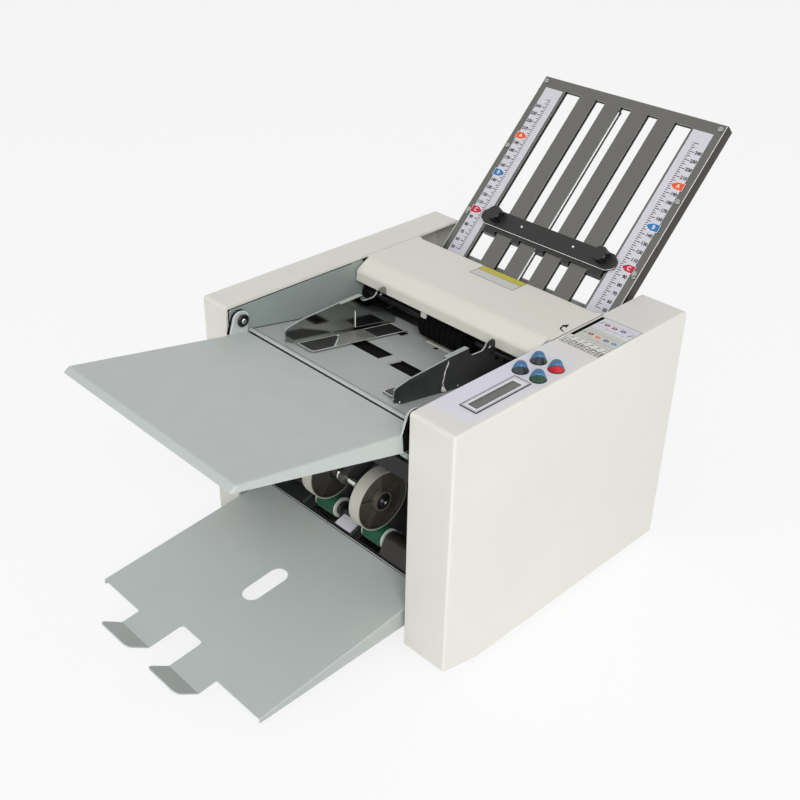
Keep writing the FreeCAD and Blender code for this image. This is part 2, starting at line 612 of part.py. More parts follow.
def gear_blank(centre, phase):
    """Spur gear about centre, with one tooth centred on the direction phase, in degrees."""
    pitch_r = ROLLER_PITCH / 2
    module = 2 * pitch_r / GEAR_TEETH
    pressure = math.radians(20)
    base_r = pitch_r * math.cos(pressure)
    root_r = pitch_r - 1.25 * module
    tip_r = pitch_r + 0.95 * module
    half_tooth = (math.pi * module / 2 - GEAR_BACKLASH) / (2 * pitch_r)
    radii = [base_r + (tip_r - base_r) * i / 4 for i in range(5)]
    leans = [half_tooth + involute(pressure) - involute(math.acos(base_r / r)) for r in radii]
    corners = []
    for tooth in range(GEAR_TEETH):
        middle = phase + 360 * tooth / GEAR_TEETH
        start = math.degrees(leans[0])
        corners.append(polar(centre, root_r, middle - start))
        corners += [polar(centre, r, middle - math.degrees(a)) for r, a in zip(radii, leans)]
        flank = list(zip(radii, leans))[::-1]
        corners += [polar(centre, r, middle + math.degrees(a)) for r, a in flank]
        corners.append(polar(centre, root_r, middle + start))
    return across(corners, GEAR_X)


def meshing_phase(phase, heading):
    """Phase of a gear that meshes with one of the given phase, in the direction heading."""
    return 2 * heading + 180 + 180 / GEAR_TEETH - phase


def pulley(centre, radius, span):
    flange = (PULLEY_WIDTH - BELT_WIDTH - 0.6) / 2
    ends = [(span[0], span[0] + flange), (span[1] - flange, span[1])]
    return joined([rod(centre, radius, span)] + [rod(centre, radius + 2, x) for x in ends])


def roller_gear(centre, phase, pulley_radius=0, span=NEAR_PULLEY):
    """Gear on a roller's drive end, with a pulley moulded on where a belt runs."""
    gear = gear_blank(centre, phase)
    pieces = [gear]
    if pulley_radius:
        pieces.append(pulley(centre, pulley_radius, span))
        pieces.append(rod(centre, GEAR_HUB_R, (span[0], GEAR_X[1])))
    return joined(pieces).cut(shaft(centre, span[0] - 1, GEAR_X[1] + 1))


def belt(centre_a, radius_a, centre_b, radius_b, span):
    middle = (span[0] + span[1]) / 2
    x = (middle - BELT_WIDTH / 2, middle + BELT_WIDTH / 2)
    outer = loop_solid(centre_a, radius_a + APART + BELT_T, centre_b,
                       radius_b + APART + BELT_T, x)
    return outer.cut(loop_solid(centre_a, radius_a + APART, centre_b, radius_b + APART, x))


def drive_belts():
    return group([
        belt(MOTOR_SHAFT, SMALL_PULLEY_R, ROLLER_2, LARGE_PULLEY_R, NEAR_PULLEY),
        belt(ROLLER_4, SMALL_PULLEY_R, EXIT_SHAFT, SMALL_PULLEY_R, FAR_PULLEY),
        belt(ROLLER_1, SMALL_PULLEY_R, FEED_SHAFT, SMALL_PULLEY_R, FAR_PULLEY)])


def motor():
    """Motor body with its cooling ribs, bored for its shaft."""
    x = motor_span()
    body = rod(MOTOR_SHAFT, MOTOR_R, x)
    first, count, pitch, width, height = RIB
    ribs = [rod(MOTOR_SHAFT, MOTOR_R + height, (x[0] + first + pitch * i, x[0] + first + pitch * i + width))
            for i in range(count)]
    bore = rod(MOTOR_SHAFT, SHAFT_R + RUNNING, (x[0] - 1, x[1] - MOTOR_SHELL / 2))
    cavity = rod(MOTOR_SHAFT, ROTOR_R + ROTOR_GAP, (x[0] + MOTOR_SHELL, x[1] - MOTOR_SHELL))
    return joined([body] + ribs).cut([bore, cavity])


def motor_span():
    return -FRAME_X + MOTOR_X, -FRAME_X + MOTOR_X + MOTOR_LENGTH


def motor_bracket():
    """Angle bracket, welded to the base, that the motor's front face is fixed to."""
    face = motor_span()[0]
    x = (face - BRACKET_T, face)
    y, z = MOTOR_SHAFT
    floor = FOOT_SINK + BASE_T
    wide = (y - BRACKET_HALF, y + BRACKET_HALF)
    wall = block(x, wide, (floor, z + BRACKET_HALF))
    foot = block((x[0], x[0] + 10 * BRACKET_T), wide, (floor, floor + BRACKET_T))
    return joined([wall, foot]).cut(rod(MOTOR_SHAFT, SHAFT_R + 2, (x[0] - 1, x[1] + 1)))


def motor_rotor():
    """Motor shaft with its rotor and, on its outer end, the drive pulley."""
    face, end = motor_span()
    spindle = shaft(MOTOR_SHAFT, NEAR_PULLEY[0], end - MOTOR_SHELL / 2 - 1)
    core = rod(MOTOR_SHAFT, ROTOR_R, (face + MOTOR_SHELL + 2, end - MOTOR_SHELL - 2))
    return joined([spindle, core, pulley(MOTOR_SHAFT, SMALL_PULLEY_R, NEAR_PULLEY)])


def feed_shaft():
    spindle = shaft(FEED_SHAFT, FAR_PULLEY[0], WALL_X + 3)
    return joined([spindle, pulley(FEED_SHAFT, SMALL_PULLEY_R, FAR_PULLEY)])


def feed_roller():
    """Grooved rubber feed roller on a plastic hub."""
    half = FEED_ROLLER_WIDTH / 2
    tyre = rod(FEED_SHAFT, FEED_ROLLER_R, (-half, half))
    for i in range(7):
        x = -half + 7 + 7.4 * i
        ring = rod(FEED_SHAFT, FEED_ROLLER_R + 1, (x, x + 1.6))
        tyre = tyre.cut(ring.cut(rod(FEED_SHAFT, FEED_ROLLER_R - 1.2, (x, x + 1.6))))
    hub = rod(FEED_SHAFT, SHAFT_R + 4, (-half - 6, half + 6))
    return joined([tyre, hub]).cut(shaft(FEED_SHAFT, -half - 7, half + 7))


# ---- delivery ----
def exit_roller_shaft():
    spindle = shaft(EXIT_SHAFT, FAR_PULLEY[0], WALL_X + 3)
    return joined([spindle, pulley(EXIT_SHAFT, SMALL_PULLEY_R, FAR_PULLEY)])


def exit_rollers():
    rollers = []
    for x in (-EXIT_X, EXIT_X):
        span = (x - EXIT_ROLLER_WIDTH / 2, x + EXIT_ROLLER_WIDTH / 2)
        barrel = rod(EXIT_SHAFT, EXIT_ROLLER_R, span)
        rollers.append(barrel.cut(rod(EXIT_SHAFT, EXIT_ROLLER_R - 3, span)))
    return group(rollers)


def exit_roller_cores():
    """Plastic cores of the exit rollers, with a flange at each end."""
    cores = []
    for x in (-EXIT_X, EXIT_X):
        low = x - EXIT_ROLLER_WIDTH / 2
        high = x + EXIT_ROLLER_WIDTH / 2
        core = rod(EXIT_SHAFT, EXIT_ROLLER_R - 3, (low - 2, high + 2))
        flanges = [rod(EXIT_SHAFT, EXIT_ROLLER_R - 0.6, span)
                   for span in ((low - 2, low), (high, high + 2))]
        cores.append(joined([core] + flanges).cut(shaft(EXIT_SHAFT, low - 3, high + 3)))
    return group(cores)


def wheel_shaft():
    return shaft(WHEEL_SHAFT, -EXIT_X - 11, EXIT_X + 11)


def exit_wheels():
    """Two moulded pressure wheels: tread, dished web, ribs and hub."""
    wheels = []
    for x in (-EXIT_X, EXIT_X):
        half = WHEEL_WIDTH / 2
        span = (x - half, x + half)
        tread = rod(WHEEL_SHAFT, WHEEL_R, span).cut(rod(WHEEL_SHAFT, WHEEL_R - 2, span))
        web = rod(WHEEL_SHAFT, WHEEL_R - 1, (x - 1.5, x + 1.5))
        hub = rod(WHEEL_SHAFT, SHAFT_R + 6, span)
        ribs = []
        for i in range(5):
            rib = block((x - half + 1.5, x + half - 1.5), (SHAFT_R + 5, WHEEL_R - 1), (-0.8, 0.8))
            rib.rotate(Vector(), X_AXIS, 72 * i + 20)
            rib.translate(Vector(0, WHEEL_SHAFT[0], WHEEL_SHAFT[1]))
            ribs.append(rib)
        bore = rod(WHEEL_SHAFT, SHAFT_R + 4, (x - half - 1, x + half + 1))
        wheels.append(joined([tread, web, hub] + ribs).cut(bore))
    return group(wheels)


def wheel_bushes():
    """Rubber bushes that grip the wheels on their shaft."""
    bushes = []
    for x in (-EXIT_X, EXIT_X):
        half = WHEEL_WIDTH / 2 + 2
        bush = rod(WHEEL_SHAFT, SHAFT_R + 4, (x - half, x + half))
        bushes.append(bush.cut(shaft(WHEEL_SHAFT, x - half, x + half)))
    return group(bushes)


def wheel_carrier():
    """Two-armed bracket that hangs the wheels' shaft from the front tie rod."""
    rail = TIE_RODS[0]
    arms = []
    for x in (-16.0, 8.0):
        arm = loop_solid(WHEEL_SHAFT, SHAFT_R + 3.5, rail, ROD_R + 3.5, (x, x + 8))
        arms.append(arm)
    bridge = rod(rail, ROD_R + 3.5, (-16, 16))
    carrier = joined(arms + [bridge])
    return carrier.cut([rod(WHEEL_SHAFT, SHAFT_R + RUNNING, (-20, 20)), rod(rail, ROD_R, (-20, 20))])


def exit_guide():
    """Delivery chute from the fold rollers to the tray, with the exit rollers' windows."""
    underside = EXIT_SHAFT[1] - SHAFT_R
    y0, z0 = CHUTE_FRONT[0], underside + CHUTE_FRONT[1]
    y1, z1 = CHUTE_KINK[0], underside + CHUTE_KINK[1]
    y2 = ROLLER_4[0] - CHUTE_REACH[0]
    z2 = ROLLER_4[1] + CHUTE_REACH[1]
    points = [(y0, z0), (y1, z1, 12), (y2, z2), (y2 + 0.7, z2 - SHEET),
              (y1 + 0.7, z1 - SHEET, 12), (y0 + 0.4, z0 - SHEET)]
    chute = across(points, (-FRAME_X, FRAME_X))
    reach = EXIT_ROLLER_WIDTH / 2 + CHUTE_WINDOW[0]
    half = CHUTE_WINDOW[1]
    y, z = EXIT_SHAFT
    window = block((EXIT_X - reach, EXIT_X + reach), (y - half, y + half), (z - 20, z + 24))
    bush_notch = rod(EXIT_SHAFT, BUSH_R + 2.5, (FRAME_X - 2, FRAME_X + 1))
    return chute.cut(both_sides(window) + both_sides(bush_notch))


def tray_flange_z(y):
    low, high = TRAY_FLANGE_Z
    return low + (high - low) * (y - TRAY_FRONT[0]) / -TRAY_FRONT[0]


def tray_stop_place():
    y = 10.0
    return y, tray_flange_z(y) - APART - STUD_R


def delivery_tray():
    """Folded sheet tray with two hooked tongues, side flanges and a hand hole."""
    length = (TRAY_REAR - TRAY_FRONT[0]) / math.cos(math.radians(TRAY_SLOPE))
    half = TRAY_X
    mouth = 18.5
    plan = [(-half, 0), (-TONGUE_OUT, 0, 1.5), (-TONGUE_OUT, -TONGUE_REACH),
            (-TONGUE_IN, -TONGUE_REACH), (-TONGUE_IN, mouth, 4.5), (TONGUE_IN, mouth, 4.5),
            (TONGUE_IN, -TONGUE_REACH), (TONGUE_OUT, -TONGUE_REACH), (TONGUE_OUT, 0, 1.5),
            (half, 0), (half, length), (-half, length)]
    sheet = inclined(upward(plan, (-SHEET, 0)), TRAY_FRONT, TRAY_SLOPE)
    front_y = TRAY_FRONT[0]
    rear_z = TRAY_FRONT[1] + (TRAY_REAR - front_y) * math.tan(math.radians(TRAY_SLOPE))
    side = [(front_y, TRAY_FRONT[1] - 0.5), (front_y - 0.6, tray_flange_z(front_y), 1.5),
            (TRAY_REAR, tray_flange_z(TRAY_REAR), 6), (TRAY_REAR, rear_z - 0.5)]
    flanges = both_sides(across(side, (half - SHEET, half)))
    bend = along(TRAY_FRONT, TRAY_SLOPE, -TONGUE_REACH, 0)
    hook = upward([(TONGUE_IN, 0.6), (TONGUE_OUT, 0.6), (TONGUE_OUT, -HOOK_LENGTH, 6),
                   (TONGUE_IN, -HOOK_LENGTH, 6)], (-SHEET, 0))
    hooks = [inclined(one, bend, HOOK_SLOPE) for one in both_sides(hook)]
    tray = joined([sheet] + flanges + hooks)
    near, far = HAND_HOLE_Y
    hole = [post(0, near, HAND_HOLE_R, (20, 70)), post(0, far, HAND_HOLE_R, (20, 70)),
            block((-HAND_HOLE_R, HAND_HOLE_R), (near, far), (20, 70))]
    return tray.cut(hole + [rod(TRAY_PIVOT, PIVOT_R + RUNNING, (-FRAME_X, FRAME_X))])


def pivot_screws():
    """Shouldered screws and spacers of the feed table and the delivery tray."""
    pieces = []
    for centre, sheet_x in ((TABLE_PIVOT, table_half()), (TRAY_PIVOT, TRAY_X)):
        inner = sheet_x - SHEET - APART
        head = rod(centre, 5.5, (inner - 2.5, inner))
        shoulder = rod(centre, PIVOT_R, (inner, FRAME_X))
        thread = rod(centre, PIVOT_R - 0.5, (FRAME_X, WALL_X + 2))
        screw = [head, shoulder, thread]
        if FRAME_X - sheet_x > 3:
            screw.append(rod(centre, 6, (sheet_x + APART, FRAME_X)))
        slot = block((inner - 3, inner - 1.5), (centre[0] - 3, centre[0] + 3),
                     (centre[1] - 0.5, centre[1] + 0.5))
        pieces += both_sides(joined(screw).cut(slot))
    return group(pieces)


# ---- fold plates, their stops and rulers ----
def slot_spans():
    """Left-to-right spans of the five slots."""
    half = MIDDLE_SLOT / 2
    right = [(NEXT_SLOT_IN, NEXT_SLOT_IN + NEXT_SLOT), (SLOT_END - OUTER_SLOT, SLOT_END)]
    left = [(-high, -low) for low, high in right]
    return left[::-1] + [(-half, half)] + right


def slotted(shape, start, end):
    """Cut the five slots through a plate's sheets."""
    cuts = [block(span, (start, end), (-20, 5)) for span in slot_spans()]
    return shape.cut(cuts)


def plate_channel(start, length, depth):
    """Top sheet of a fold plate with its turned-down sides and end."""
    outer = block((-PLATE_X, PLATE_X), (start, length), (-depth, 0))
    rim = [edge for edge in outer.Edges
           if edge.BoundBox.ZMin > -0.01 and edge.BoundBox.YMax > start + 1]
    outer = outer.makeFillet(1.8, rim)
    inside = block((-PLATE_X + SHEET, PLATE_X - SHEET), (start - 1, length - SHEET),
                   (-depth - 1, -SHEET))
    return outer.cut(inside)


def back_sheet(start, length):
    return block((-PLATE_X + SHEET, PLATE_X - SHEET), (start, length - SHEET),
                 (-BACK_SHEET - SHEET, -BACK_SHEET))


def screw_places():
    x = PLATE_X - 5.5
    return [(x, s) for s in (34.0, 97.0, 184.0, UPPER_LENGTH - 6.5)]


def upper_screw_holes():
    holes = []
    for x, s in screw_places():
        holes += both_sides(post(x, s, 1.5, (-8, 2)))
    return holes


def upper_plate():
    channel = plate_channel(8.0, UPPER_LENGTH, PLATE_FLANGE)
    plate = slotted(channel, 14.0, UPPER_LENGTH - END_MARGIN).cut(upper_screw_holes())
    return inclined(plate, UPPER_ZERO, UPPER_SLOPE)


def upper_back_sheet():
    sheet = slotted(back_sheet(4.0, UPPER_LENGTH), 14.0, UPPER_LENGTH - END_MARGIN)
    return inclined(sheet.cut(upper_screw_holes()), UPPER_ZERO, UPPER_SLOPE)


def plate_rulers():
    end = UPPER_LENGTH - END_MARGIN - 1.5
    ruler = block((RULER_IN, RULER_OUT), (RULER_START, end), (0, RULER_T))
    return inclined(group(both_sides(ruler)), UPPER_ZERO, UPPER_SLOPE)


def machine_screws():
    """Pan-head screws of the fold plate, the rear panels and the feet."""
    screws = []
    for x, s in screw_places():
        screw = joined([post(x, s, 2.7, (0, 1.4)), post(x, s, 1.5, (-BACK_SHEET - SHEET - 1, 0))])
        screw = screw.cut(block((x - 1.8, x + 1.8), (s - 0.4, s + 0.4), (0.7, 2)))
        screws += [inclined(one, UPPER_ZERO, UPPER_SLOPE) for one in both_sides(screw)]
    for x, y in foot_places():
        head_z = FOOT_SINK - FOOT_HEIGHT + FOOT_POCKET[1]
        head = post(x, y, 2 * SCREW_R, (head_z - 2, head_z))
        screws.append(joined([head, post(x, y, SCREW_R, (head_z, FOOT_SINK + BASE_T + 1.5))]))
    return group(screws)


def plate_brackets():
    """Blocks that hang both fold plates from the side plates."""
    x = (PLATE_X, FRAME_X)
    upper = inclined(block(x, (9, 29), (-PLATE_FLANGE, -2)), UPPER_ZERO, UPPER_SLOPE)
    lower = inclined(block(x, (15, 50), (-PLATE_FLANGE, -2)), LOWER_ZERO, LOWER_SLOPE)
    return group(both_sides(upper) + both_sides(lower))


def finger_spans():
    """Left-to-right spans of a stop's fingers, one in each slot."""
    return [(low + 1.5, high - 1.5) for low, high in slot_spans()]


def stop_fingers(start, end):
    depth = BACK_SHEET + SHEET + 2.2
    return [block(span, (start, end), (-depth, RULER_T + 1)) for span in finger_spans()]


def stop_clamp(start, end, half):
    """Strip behind the plate that keeps a stop on it."""
    depth = BACK_SHEET + SHEET + APART
    return block((-half, half), (start, end), (-depth - 1.9, -depth))


def stop_seat():
    return RULER_T + 0.6


def upper_stop():
    """Stop carriage: notched bar over the slats, fingers through the slots, rear clamp."""
    low = STOP_AT
    high = STOP_AT + STOP_DEPTH
    reach = RULER_IN + 6
    seat = stop_seat()
    right = [(reach - 9, low + 4), (reach, low + 9, 3), (reach, high - 6, 5), (reach - 8, high, 4)]
    plan = right + [(-point[0],) + point[1:] for point in right[::-1]]
    bar = upward(plan, (seat, seat + 2.4))
    step = block((-SLOT_END + 2, SLOT_END - 2), (low, low + 9), (seat, seat + 1.2))
    teeth = [block((low_x + 2, high_x - 2), (low - 5, low + 1), (seat, seat + 1.2))
             for low_x, high_x in slot_spans()]
    fingers = stop_fingers(low - 5, low - 3)
    pins = [block(span, (high - 12, high - 8), (-BACK_SHEET - SHEET - 2.2, seat + 0.5))
            for span in finger_spans()]
    clamp = stop_clamp(low - 5, high - 6, SLOT_END - 1)
    solid = joined([bar, step, clamp] + teeth + fingers + pins)
    holes = [post(side * KNOB_X, stop_knob_s(), 2 + RUNNING, (-20, 10)) for side in (-1, 1)]
    return inclined(solid.cut(holes), UPPER_ZERO, UPPER_SLOPE)


def stop_knob_s():
    return STOP_AT + STOP_DEPTH - 7


def knob(x, s, seat, depth):
    """Scalloped clamping knob with its stud, standing on n = seat."""
    low = seat + 0.2
    head = post(x, s, KNOB_R, (low, low + KNOB_HEIGHT))
    top_rim = [edge for edge in head.Edges if edge.BoundBox.ZMin > low + KNOB_HEIGHT - 0.01]
    head = head.makeFillet(1.5, top_rim)
    scallops = []
    for i in range(8):
        turn = math.radians(45 * i)
        reach = KNOB_R + 1.4
        scallops.append(post(x + reach * math.cos(turn), s + reach * math.sin(turn), 2.4,
                             (low + 1.5, low + KNOB_HEIGHT + 1)))
    stud = post(x, s, 2, (-depth, low))
    return joined([head.cut(scallops), stud])


def upper_knob(side):
    depth = BACK_SHEET + SHEET + 1.5
    shape = knob(side * KNOB_X, stop_knob_s(), stop_seat() + 2.4, depth)
    return inclined(shape, UPPER_ZERO, UPPER_SLOPE)


def lower_plate():
    channel = plate_channel(-2.0, LOWER_LENGTH, PLATE_FLANGE)
    return inclined(slotted(channel, *LOWER_SLOTS), LOWER_ZERO, LOWER_SLOPE)


def lower_back_sheet():
    sheet = slotted(back_sheet(-8.0, LOWER_LENGTH), *LOWER_SLOTS)
    return inclined(sheet, LOWER_ZERO, LOWER_SLOPE)


def lower_stop():
    """Stop of the lower plate, worked by a knob that stands clear of the rear panel."""
    low = LOWER_STOP_AT
    seat = stop_seat()
    bar = block((-SLOT_END, SLOT_END), (low - 3, low + 8), (seat, seat + 2.4))
    arm = block((-12, 12), (low, low + 50), (seat, seat + 2.4))
    fingers = stop_fingers(low - 3, low - 1)
    clamp = stop_clamp(low - 3, low + 6, SLOT_END - 1)
    keeper = [block((-5.5, 5.5), (low + 30, low + 50), (-BACK_SHEET - SHEET - 2.2, seat + 1)),
              block((-12, 12), (low + 30, low + 50), (-BACK_SHEET - SHEET - 2.2,
                                                     -BACK_SHEET - SHEET - APART))]
    hole = post(0, low + 40, 2 + RUNNING, (-20, 10))
    return inclined(joined([bar, arm, clamp] + fingers + keeper).cut(hole), LOWER_ZERO, LOWER_SLOPE)


def lower_knob():
    depth = BACK_SHEET + SHEET + 1.5
    shape = knob(0, LOWER_STOP_AT + 40, stop_seat() + 2.4, depth)
    return inclined(shape, LOWER_ZERO, LOWER_SLOPE)


# ---- top cover ----
def top_cover():
    """Moulded cover over the feed roller, with side walls, top wings and hinge pins."""
    front = COVER_FRONT
    rear = COVER_REAR
    low = TOP - 22.5
    shelf = TOP - 0.5
    profile = [(front, low, 1), (front + 1, TOP - 10, 6), (front + 17, shelf, 18), (rear, shelf, 3),
               (rear, low - 3, 2), (rear - 14, low - 3, 2)]
    outer = across(profile, (-COVER_X, COVER_X))
    inside = [(front + COVER_T, low - 5), (front + 1 + COVER_T, TOP - 10.8, 4),
              (front + 17.6, shelf - COVER_T, 15), (rear + 1, shelf - COVER_T), (rear + 1, low - 9)]
    shell = outer.cut(across(inside, (-COVER_X + COVER_T, COVER_X - COVER_T)))
    wing = block((COVER_X - 2, WALL_X - COVER_WING_GAP), (front + 20, rear),
                 (shelf - COVER_T, shelf))
    pin = rod(HINGE, PIVOT_R, (COVER_X - COVER_T, WALL_X - 0.5))
    return joined([shell] + both_sides(wing) + both_sides(pin))


# ---- control panel and mains parts ----
def display_window():
    (left, right), (near, far) = DISPLAY
    plate = block((left, right), (near, far), (TOP, TOP + DISPLAY_RISE))
    plug = block((left + 4, right - 4), (near + 4, far - 4), (TOP - HOUSING_WALL, TOP))
    return joined([plate, plug])


def board_corners():
    return [(x, y) for x in (BUTTON_X[0] - 10, BUTTON_X[1] + 8)
            for y in (DISPLAY[1][0] - 2, BUTTON_Y[1] + 12)]


def control_board():
    """Circuit board with the display module and one switch below each button."""
    top = TOP - BOARD_DROP
    (left, right), (near, far) = DISPLAY
    corners = board_corners()
    board = block((corners[0][0] - 4, corners[-1][0] + 4), (corners[0][1] - 4, corners[-1][1] + 4),
                  (top - 1.6, top))
    module = block((left + 1, right - 1), (near + 6, far - 1), (top, TOP - HOUSING_WALL - 0.5))
    switches = [block((x - 3, x + 3), (y - 3, y + 3), (top, top + 2.4)) for x, y in button_places()]
    return joined([board, module] + switches)


def push_button(x, y):
    """Domed key with a collar below the panel and a stem over its switch."""
    under = TOP - HOUSING_WALL
    stem_low = TOP - BOARD_DROP + 2.4 + BUTTON_TRAVEL + 0.3
    low = Vector(x, y, TOP + 0.8)
    dome = Part.makeCone(BUTTON_R, BUTTON_TIP_R, BUTTON_RISE - 0.8, low)
    tip = [edge for edge in dome.Edges if edge.BoundBox.ZMin > TOP + BUTTON_RISE - 0.01]
    dome = dome.makeFillet(BUTTON_TIP_R - 0.5, tip)
    skirt = post(x, y, BUTTON_R, (under - 0.2, TOP + 0.8))
    collar = post(x, y, BUTTON_R + 1.4, (under - 2.2, under - 0.2))
    return joined([dome, skirt, collar, post(x, y, 2, (stem_low, under))])


def rocker_place():
    return HOUSING_DEPTH - 1.5, INLET_Z[1] - 18


def power_inlet():
    """Mains module in the rear wall: recessed three-pin inlet below a switch frame."""
    rear = HOUSING_DEPTH
    x = (INLET_X[0] + INLET_X[1]) / 2
    flange = block(INLET_X, (rear, rear + 2), INLET_Z)
    body = block((INLET_X[0] + 3, INLET_X[1] - 3), (rear - 26, rear), (INLET_Z[0] + 3,
                                                                     INLET_Z[1] - 3))
    recess = block((x - 12, x + 12), (rear - 16, rear + 3), (INLET_Z[0] + 8, INLET_Z[0] + 25))
    well_z = rocker_place()[1]
    well = block((x - 7, x + 7), (rear - 12, rear + 3), (well_z - 12.5, well_z + 12.5))
    pins = [block((x + dx - 1, x + dx + 1), (rear - 18, rear - 6), (z - 2, z + 2))
            for dx, z in ((-7, INLET_Z[0] + 14), (0, INLET_Z[0] + 19), (7, INLET_Z[0] + 14))]
    axle = rod(rocker_place(), 1.5, (x - 8, x + 8))
    module = joined([flange, body]).cut([recess, well])
    return joined([module, axle] + pins)


def power_rocker():
    """Rocker of the mains switch, resting on its off side."""
    x = (INLET_X[0] + INLET_X[1]) / 2
    y, z = rocker_place()
    shape = across([(y - 5, z - 6, 1), (y + 1.5, z - 10.5, 1), (y + 3.4, z), (y + 1.5, z + 10.5, 1),
                    (y - 5, z + 6, 1)], (x - 6.6, x + 6.6))
    shape = shape.cut(rod((y, z), 1.5 + RUNNING, (x - 8, x + 8)))
    shape.rotate(Vector(x, y, z), X_AXIS, ROCKER_TILT)
    return shape


# ---- the whole machine ----
def add_root_parts():
    add("left_side_frame", mirrored(side_frame(False)))
    add("right_side_frame", side_frame(True))
    add("left_housing", left_housing())
    add("right_housing", right_housing())
    add("base_plate", base_plate())
    add("rubber_feet", rubber_feet())
    lower_panel, upper_panel = rear_panels()
    add("rear_lower_panel", lower_panel)
    add("rear_upper_panel", upper_panel)
    add("tie_rods", tie_rods())
    add("cross_channel", cross_channel())
    add("feed_bed", feed_bed())
    add("separator_pad", separator_pad())
    add("shaft_bushes", shaft_bushes())
    add("drive_belts", drive_belts())
    add("motor", motor())
    add("wheel_carrier", wheel_carrier())
    add("exit_guide", exit_guide())
    add("pivot_screws", pivot_screws())
    add("upper_fold_plate", upper_plate())
    add("upper_back_sheet", upper_back_sheet())
    add("plate_rulers", plate_rulers())
    add("machine_screws", machine_screws())
    add("plate_brackets", plate_brackets())
    add("lower_fold_plate", lower_plate())
    add("lower_back_sheet", lower_back_sheet())
    add("display_window", display_window())
    add("control_board", control_board())
    add("power_inlet", power_inlet())


def add_drive_parts():
    phase_2 = 0.0
    phase_1 = meshing_phase(phase_2, 90 - BED_SLOPE)
    phase_3 = meshing_phase(phase_2, THIRD_ROLLER_ANGLE)
    phase_4 = meshing_phase(phase_2, FOURTH_ROLLER_ANGLE)
    add("fold_roller_1", fold_roller(ROLLER_1, FAR_PULLEY[0]))
    add("fold_roller_2", fold_roller(ROLLER_2, NEAR_PULLEY[0]))
    add("fold_roller_3", fold_roller(ROLLER_3, GEAR_X[0]))
    add("fold_roller_4", fold_roller(ROLLER_4, FAR_PULLEY[0]))
    add("roller_gear_1", roller_gear(ROLLER_1, phase_1, SMALL_PULLEY_R, FAR_PULLEY))
    add("roller_gear_2", roller_gear(ROLLER_2, phase_2, LARGE_PULLEY_R, NEAR_PULLEY))
    add("roller_gear_3", roller_gear(ROLLER_3, phase_3, 0, GEAR_X))
    add("roller_gear_4", roller_gear(ROLLER_4, phase_4, SMALL_PULLEY_R, FAR_PULLEY))
    add("motor_rotor", motor_rotor())
    add("feed_shaft", feed_shaft())
    add("feed_roller", feed_roller())
    add("exit_roller_shaft", exit_roller_shaft())
    add("exit_rollers", exit_rollers())
    add("exit_roller_cores", exit_roller_cores())
    add("wheel_shaft", wheel_shaft())
    add("exit_wheels", exit_wheels())
    add("wheel_bushes", wheel_bushes())


def add_handled_parts():
    add("feed_table", feed_table())
    add("delivery_tray", delivery_tray())
    add("top_cover", top_cover())
    add("right_guide", side_guide())
    add("left_guide", mirrored(side_guide()))
    add("upper_stop", upper_stop())
    add("left_stop_knob", upper_knob(-1))
    add("right_stop_knob", upper_knob(1))
    add("lower_stop", lower_stop())
    add("lower_stop_knob", lower_knob())
    add("power_rocker", power_rocker())
    names = ("down_button", "up_button", "start_button", "stop_button")
    for name, (x, y) in zip(names, button_places()):
        add(name, push_button(x, y))


def export_all():
    """Move the machine so that the middle of its box's floor is the origin, and export."""
    os.makedirs("parts", exist_ok=True)
    box = group(list(EXPORTED.values())).optimalBoundingBox(False, False)
    shift = Vector(-(box.XMin + box.XMax) / 2, -(box.YMin + box.YMax) / 2, -box.ZMin)
    for name, shape in EXPORTED.items():
        moved = shape.copy()
        moved.translate(shift)
        moved.exportStep("parts/" + name + ".step")
    return shift


def print_places(shift):
    """Print the origin's shift and the centres that the joints turn about."""
    print("shift", round(shift.x, 4), round(shift.y, 4), round(shift.z, 4))
    places = {"table_pivot": TABLE_PIVOT, "tray_pivot": TRAY_PIVOT, "cover_hinge": HINGE,
              "roller_1": ROLLER_1, "roller_2": ROLLER_2, "roller_3": ROLLER_3,
              "roller_4": ROLLER_4, "feed_shaft": FEED_SHAFT, "exit_shaft": EXIT_SHAFT,
              "wheel_shaft": WHEEL_SHAFT, "motor": MOTOR_SHAFT, "rocker": rocker_place(),
              "upper_zero": UPPER_ZERO, "lower_zero": LOWER_ZERO,
              "upper_knob": along(UPPER_ZERO, UPPER_SLOPE, stop_knob_s(), 0),
              "lower_knob": along(LOWER_ZERO, LOWER_SLOPE, LOWER_STOP_AT + 40, 0)}
    for name, (y, z) in places.items():
        print(name, round(y + shift.y, 4), round(z + shift.z, 4))
    print("knob_x", round(KNOB_X, 4), "frame_x", FRAME_X, "wall_x", WALL_X)


add_root_parts()
add_drive_parts()
add_handled_parts()
print_places(export_all())
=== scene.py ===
import math

import bmesh
import bpy
from mathutils import Matrix, Vector


